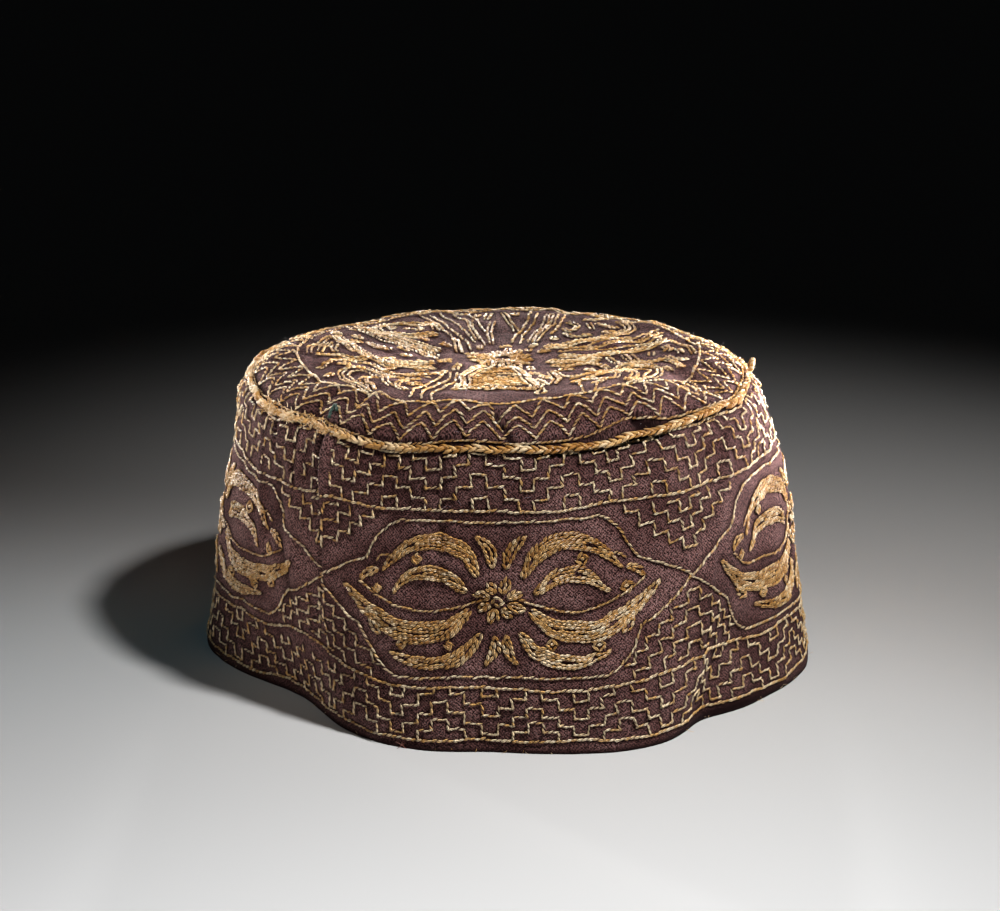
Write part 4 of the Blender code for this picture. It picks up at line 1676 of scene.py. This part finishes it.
# One yarn of a step of the plait, in lengths and widths of the step
LOBE_SIDES = 8
LOBE_RINGS = 6
LOBE_LENGTH = 1.65
LOBE_LEAN = math.radians(27.0)
LOBE_ASIDE = 0.21
LOBE_HALF_WIDTH = 0.25
LOBE_HALF_HEIGHT = 0.42
LOBE_ARCH = 0.22
LOBE_SUNK = 0.10


def seam_outwards(angle):
    """The direction that points away from the groove between band and crown."""
    along = band_shape(angle + 0.5, SEAM_HEIGHT) - band_shape(angle - 0.5, SEAM_HEIGHT)
    up_band = band_shape(angle, SEAM_HEIGHT) - band_shape(angle, SEAM_HEIGHT - 0.002)
    up_crown = crown_shape(angle, 0.97) - crown_shape(angle, CROWN_EDGE)
    return unit(normals_of(along, up_band) + normals_of(along, up_crown))


def braid_points(angle):
    """The middle of the cord, about the middle of the crown."""
    return band_shape(angle, SEAM_HEIGHT) + seam_outwards(angle) * (BRAID_RADIUS + BRAID_SEAT)


def plait_shape():
    """One step of the plait, 1 long and 1 wide: two slanted yarns, one on each side."""
    points, faces, places = [], [], []
    for side in (-1.0, 1.0):
        first = len(points)
        way = direction(-LOBE_LEAN * side)
        over = np.array((-way[1], way[0]))
        centre = np.array((0.5 + 0.25 * side, LOBE_ASIDE * side))
        for ring in range(LOBE_RINGS + 1):
            s = ring / LOBE_RINGS
            swell = math.sin(math.pi * min(max(s, 0.03), 0.97)) ** 0.8
            for corner in range(LOBE_SIDES):
                turn = 2.0 * math.pi * (corner / LOBE_SIDES - 0.25)
                aside = over * LOBE_HALF_WIDTH * swell * math.cos(turn)
                spot = centre + way * (s - 0.5) * LOBE_LENGTH + aside
                rise = LOBE_HALF_HEIGHT * swell * math.sin(turn)
                rise += LOBE_ARCH * math.sin(math.pi * s) - LOBE_SUNK
                points.append((spot[0], spot[1], rise))
                places.append((s, 1.0 + corner / LOBE_SIDES))
        for ring in range(LOBE_RINGS):
            for corner in range(LOBE_SIDES):
                a = first + ring * LOBE_SIDES
                b = a + LOBE_SIDES
                following = (corner + 1) % LOBE_SIDES
                faces.append((a + corner, b + corner, b + following, a + following))
        faces.append(tuple(first + corner for corner in range(LOBE_SIDES)))
        end = first + LOBE_RINGS * LOBE_SIDES
        faces.append(tuple(end + corner for corner in reversed(range(LOBE_SIDES))))
    mesh = bpy.data.meshes.new("one step of the plait")
    mesh.from_pydata(points, [], faces)
    mesh.shade_smooth()
    set_uv(mesh, np.array([places[loop.vertex_index] for loop in mesh.loops]))
    return put("one step of the plait", mesh)


# How the cord changes on its way round: sound at the front, worn flat at the left, thinner behind
Stretch = namedtuple("Stretch", "name start end width shade")
SOUND_CORD = (
    Stretch("front and right", -38.0, 178.0, 1.9, 0.35),
    Stretch("back and left", 178.0, 262.0, 1.5, 0.2),
    Stretch("left end", -98.0, -65.0, 1.8, 0.6),
)
WORN_CORD = (
    Stretch("left corner", -66.0, -37.0, 2.2, 0.6),
)
# Pitch and height of the plait in mm, how uneven its steps are, and how high its middle lies in metres
Plait = namedtuple("Plait", "pitch height unevenness seat")
SOUND_PLAIT = Plait(2.35, 2.0, 0.17, 0.00125)
WORN_PLAIT = Plait(1.6, 1.3, 0.42, 0.0009)
CORD_RIPPLES = (Ripple(0.020, 0.00025, 41), Ripple(0.007, 0.00015, 42))


def cord_piece(name, stretches, plait):
    """Plait stretches of the cord as one piece."""
    turns = [np.arange(stretch.start, stretch.end + 0.5, 1.0) for stretch in stretches]
    counts = np.array([len(turn) for turn in turns])
    angles = np.concatenate(turns)
    outwards = seam_outwards(angles)
    line = band_shape(angles, SEAM_HEIGHT) + outwards * plait.seat + AXIS
    line[:, 2] += ripples(line, CORD_RIPPLES)
    widths = np.array([stretch.width * MM for stretch in stretches])
    shades = np.array([stretch.shade for stretch in stretches])
    paths = path_mesh(name, line, outwards, counts, widths, shades, np.zeros(len(stretches)))
    mesh = grown(name, paths, stitching, {
        "Stitch": plait_step,
        "Spacing": plait.pitch * MM,
        "Height": plait.height * MM,
        "Slant": 0.0,
        "Unevenness": plait.unevenness,
        "Thread": plait_thread,
    })
    return piece_of(name, mesh)


plait_thread = thread_material("plaited cream thread", 6.0, 44.0)
plait_step = plait_shape()
sound_cord = cord_piece("seam_braid_plait", SOUND_CORD, SOUND_PLAIT)
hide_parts("seam_braid")
cord_piece("seam_braid_worn", WORN_CORD, WORN_PLAIT)
bpy.data.objects.remove(plait_step)


# The end of the cord at the right corner: a small loop of two twisted yarns that stands on the braid.
LOOP_ANGLE = 90.0
LOOP_SPREAD = 0.0034
LOOP_HEIGHT = 0.0020
LOOP_SUNK = 0.0008
YARN_RADIUS = 0.00045
YARN_OFFSET = 0.00036


def loop_line(count):
    """The middle line of the loop."""
    foot = braid_points(LOOP_ANGLE)
    outwards = seam_outwards(LOOP_ANGLE)
    along = unit(braid_points(LOOP_ANGLE + 1.0) - braid_points(LOOP_ANGLE - 1.0))
    up = unit(outwards + (0.0, 0.0, 2.0))
    turn = np.linspace(0.0, math.pi, count)[:, None]
    side = along * (-0.5 * LOOP_SPREAD * np.cos(turn) * (1.0 + 0.4 * np.sin(turn)))
    base = foot + up * (BRAID_RADIUS + GAP - LOOP_SUNK)
    return base + side + up * ((LOOP_HEIGHT + LOOP_SUNK) * np.sin(turn)) + AXIS


def tube(line, radius, sides):
    """Points and faces of a closed thin tube along a line; radius is one number or one a point."""
    count = len(line)
    way = unit(np.gradient(line, axis=0))
    spare_axis = np.eye(3)[np.argmin(np.abs(way).sum(0))]
    across = unit(np.cross(way, spare_axis))
    over = np.cross(way, across)
    turn = np.arange(sides) * 2.0 * math.pi / sides
    radius = np.broadcast_to(radius, count)[:, None, None]
    ring = across[:, None] * np.cos(turn)[None, :, None] + over[:, None] * np.sin(turn)[None, :, None]
    points = (line[:, None] + ring * radius).reshape(-1, 3)
    faces = []
    for step in range(count - 1):
        for corner in range(sides):
            a = step * sides + corner
            b = step * sides + (corner + 1) % sides
            faces.append((a, b, b + sides, a + sides))
    faces.append(tuple(reversed(range(sides))))
    faces.append(tuple((count - 1) * sides + corner for corner in range(sides)))
    return points, faces


def yarn_piece(name, strands, material, tones):
    """Many tubes as one piece."""
    points, faces, tone_values = [], [], []
    total = 0
    for (strand_points, strand_faces), tone in zip(strands, tones):
        points.append(strand_points)
        faces += [tuple(total + corner for corner in face) for face in strand_faces]
        tone_values.append(np.full(len(strand_points), tone))
        total += len(strand_points)
    mesh = bpy.data.meshes.new(name)
    mesh.from_pydata(np.concatenate(points).tolist(), [], faces)
    mesh.shade_smooth()
    set_points_attribute(mesh, "tone", np.concatenate(tone_values))
    set_points_attribute(mesh, "shade", np.full(total, 0.7))
    set_uv(mesh, np.full((len(mesh.loops), 2), 0.5))
    mesh.materials.append(material)
    return piece_of(name, mesh)


def twisted(line, strands, offset, radius, turns, sides=8):
    """Yarns that wind round one line."""
    way = unit(np.gradient(line, axis=0))
    across = unit(np.cross(way, (0.0, 1.0, 0.2)))
    over = np.cross(way, across)
    share = np.linspace(0.0, 1.0, len(line))
    made = []
    for number in range(strands):
        turn = 2.0 * math.pi * (share * turns + number / strands)
        run = line + (across * np.cos(turn)[:, None] + over * np.sin(turn)[:, None]) * offset
        made.append(tube(run, radius, sides))
    return made


loop_strands = twisted(loop_line(60), 2, YARN_OFFSET, YARN_RADIUS, 6.0)
corner_loop = yarn_piece("corner_loop_yarn", loop_strands, gold_thread, (0.3, 0.9))
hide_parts("corner_loop")


# Loose ends: frayed yarn where the cord is worn, a few ends at the hem, fine hairs of cotton on the
# rubbed edges, a bit of green thread at the left and bits of red-brown thread.
def loose_end(dice, base, way, length, radius, sides=3, cuts=4):
    """A short curled thread that leaves the cloth."""
    share = np.linspace(0.0, 1.0, cuts)[:, None]
    bend = dice.normal(size=3) * length * 0.35
    line = base + way * length * share + bend * share ** 2
    line[:, 2] = np.maximum(line[:, 2], radius)
    return tube(line, radius * (1.0 - 0.5 * share[:, 0]), sides)


def loose_ends(tufts):
    """Many loose ends; a tuft's place gives a point of the cap and its outward direction from an angle."""
    ends = []
    for tuft in tufts:
        dice = np.random.default_rng(tuft.seed)
        for angle in dice.uniform(tuft.first, tuft.last, tuft.count):
            base, out = tuft.place(dice, angle)
            way = unit(out + dice.normal(size=3) * tuft.spread)
            long = dice.uniform(tuft.shortest, tuft.longest) * MM
            radius = tuft.radius * MM * dice.uniform(0.7, 1.3)
            ends.append(loose_end(dice, base, way, long, radius, tuft.sides))
    return ends


def on_worn_cord(dice, angle):
    """A place on the worn cord."""
    out = seam_outwards(angle)
    side = band_shape(angle, SEAM_HEIGHT) - band_shape(angle, SEAM_HEIGHT - 0.004)
    across = side / np.linalg.norm(side) * dice.normal() * 0.0009
    return band_shape(angle, SEAM_HEIGHT) + out * 0.0010 + across + AXIS, out


def on_hem(dice, angle):
    """A place near the lower edge."""
    points, normals = band_face(np.array([[angle / 360.0 * ROUND, dice.uniform(0.3, 1.4)]]))
    return points[0], normals[0] * 0.6 + np.array((0.0, 0.0, -0.2))


def on_shoulder(dice, angle):
    """A place on the band below the cord."""
    slant = SLANT - abs(dice.normal()) * 9.0
    points, normals = band_face(np.array([[angle / 360.0 * ROUND, slant]]))
    return points[0], normals[0]


def on_crown_edge(dice, angle):
    """A place on the crown inside the cord."""
    radius = SEAM_RADIUS - 1.0 - abs(dice.normal()) * 9.0
    points, normals = crown_face(ring_point(np.array([angle]), np.array([radius])))
    return points[0], normals[0]


# Tufts of loose ends: between two angles, lengths and radius in mm
Tuft = namedtuple("Tuft", "name seed count first last place shortest longest radius spread sides")
YARN_TUFTS = (
    Tuft("worn corner", 51, 380, -67.0, -36.0, on_worn_cord, 0.6, 1.7, 0.15, 0.9, 4),
    Tuft("seam's front", 52, 80, -100.0, 100.0, on_worn_cord, 0.5, 1.3, 0.06, 0.9, 3),
    Tuft("hem", 53, 60, -180.0, 180.0, on_hem, 0.6, 1.8, 0.06, 0.7, 3),
)
COTTON_TUFTS = (
    Tuft("shoulder", 55, 420, -180.0, 180.0, on_shoulder, 0.5, 1.8, 0.022, 0.9, 3),
    Tuft("crown's edge", 56, 520, -180.0, 180.0, on_crown_edge, 0.5, 1.8, 0.022, 0.9, 3),
)
RED_TUFTS = (
    Tuft("right corner", 58, 14, 80.0, 90.0, on_worn_cord, 1.2, 2.6, 0.16, 0.7, 3),
    Tuft("front", 59, 8, -36.0, -30.0, on_worn_cord, 1.0, 2.0, 0.16, 0.7, 3),
    Tuft("left corner", 60, 5, -46.0, -43.0, on_worn_cord, 1.0, 2.0, 0.16, 0.7, 3),
)
FLUFF_COLOUR = (0.42, 0.34, 0.40)
GREEN = (0.006, 0.036, 0.020)
RED_BROWN = (0.200, 0.050, 0.026)


def plain_thread(name, colour):
    """Dull thread of one colour."""
    made, _, shader = new_material(name)
    fill_in(shader, {"Base Color": (*colour, 1.0), "Roughness": 0.7, "Sheen Weight": 0.2})
    return made


frays = loose_ends(YARN_TUFTS)
fray_tones = np.random.default_rng(54).uniform(0.0, 1.0, len(frays))
yarn_piece("loose_yarn_ends", frays, gold_thread, fray_tones)

hairs = loose_ends(COTTON_TUFTS)
fluff = plain_thread("cotton fluff", FLUFF_COLOUR)
yarn_piece("cotton_hairs", hairs, fluff, np.zeros(len(hairs)))

GREEN_BIT = ((-48.6, -54.2), (-48.0, -52.4), (-47.2, -50.8), (-46.8, -52.2), (-46.6, -53.8))
green_points, _ = crown_face(smooth_line(GREEN_BIT, 16), 0.0006)
green_strands = twisted(green_points, 2, 0.00022, 0.00030, 3.0, 6)
yarn_piece("green_thread", green_strands, plain_thread("green thread", GREEN), (0.5, 0.5))

# A small star of red-brown thread near the hem, and tufts of it at the seam
STAR_ARMS = 5
STAR_PLACE = -27.0
STAR_REACH = 0.0016
STAR_RADIUS = 0.00012
red_dice = np.random.default_rng(57)
star_middle, star_out = on_hem(red_dice, STAR_PLACE / ROUND * 360.0)
red_ends = []
for star_arm in range(STAR_ARMS):
    turn = 2.0 * math.pi * star_arm / STAR_ARMS + 0.3
    way = np.array((math.cos(turn), -0.2, math.sin(turn)))
    red_ends.append(loose_end(red_dice, star_middle + star_out * 0.0002, way, STAR_REACH, STAR_RADIUS))
red_ends += loose_ends(RED_TUFTS)
yarn_piece("red_thread", red_ends, plain_thread("red-brown thread", RED_BROWN), np.zeros(len(red_ends)))
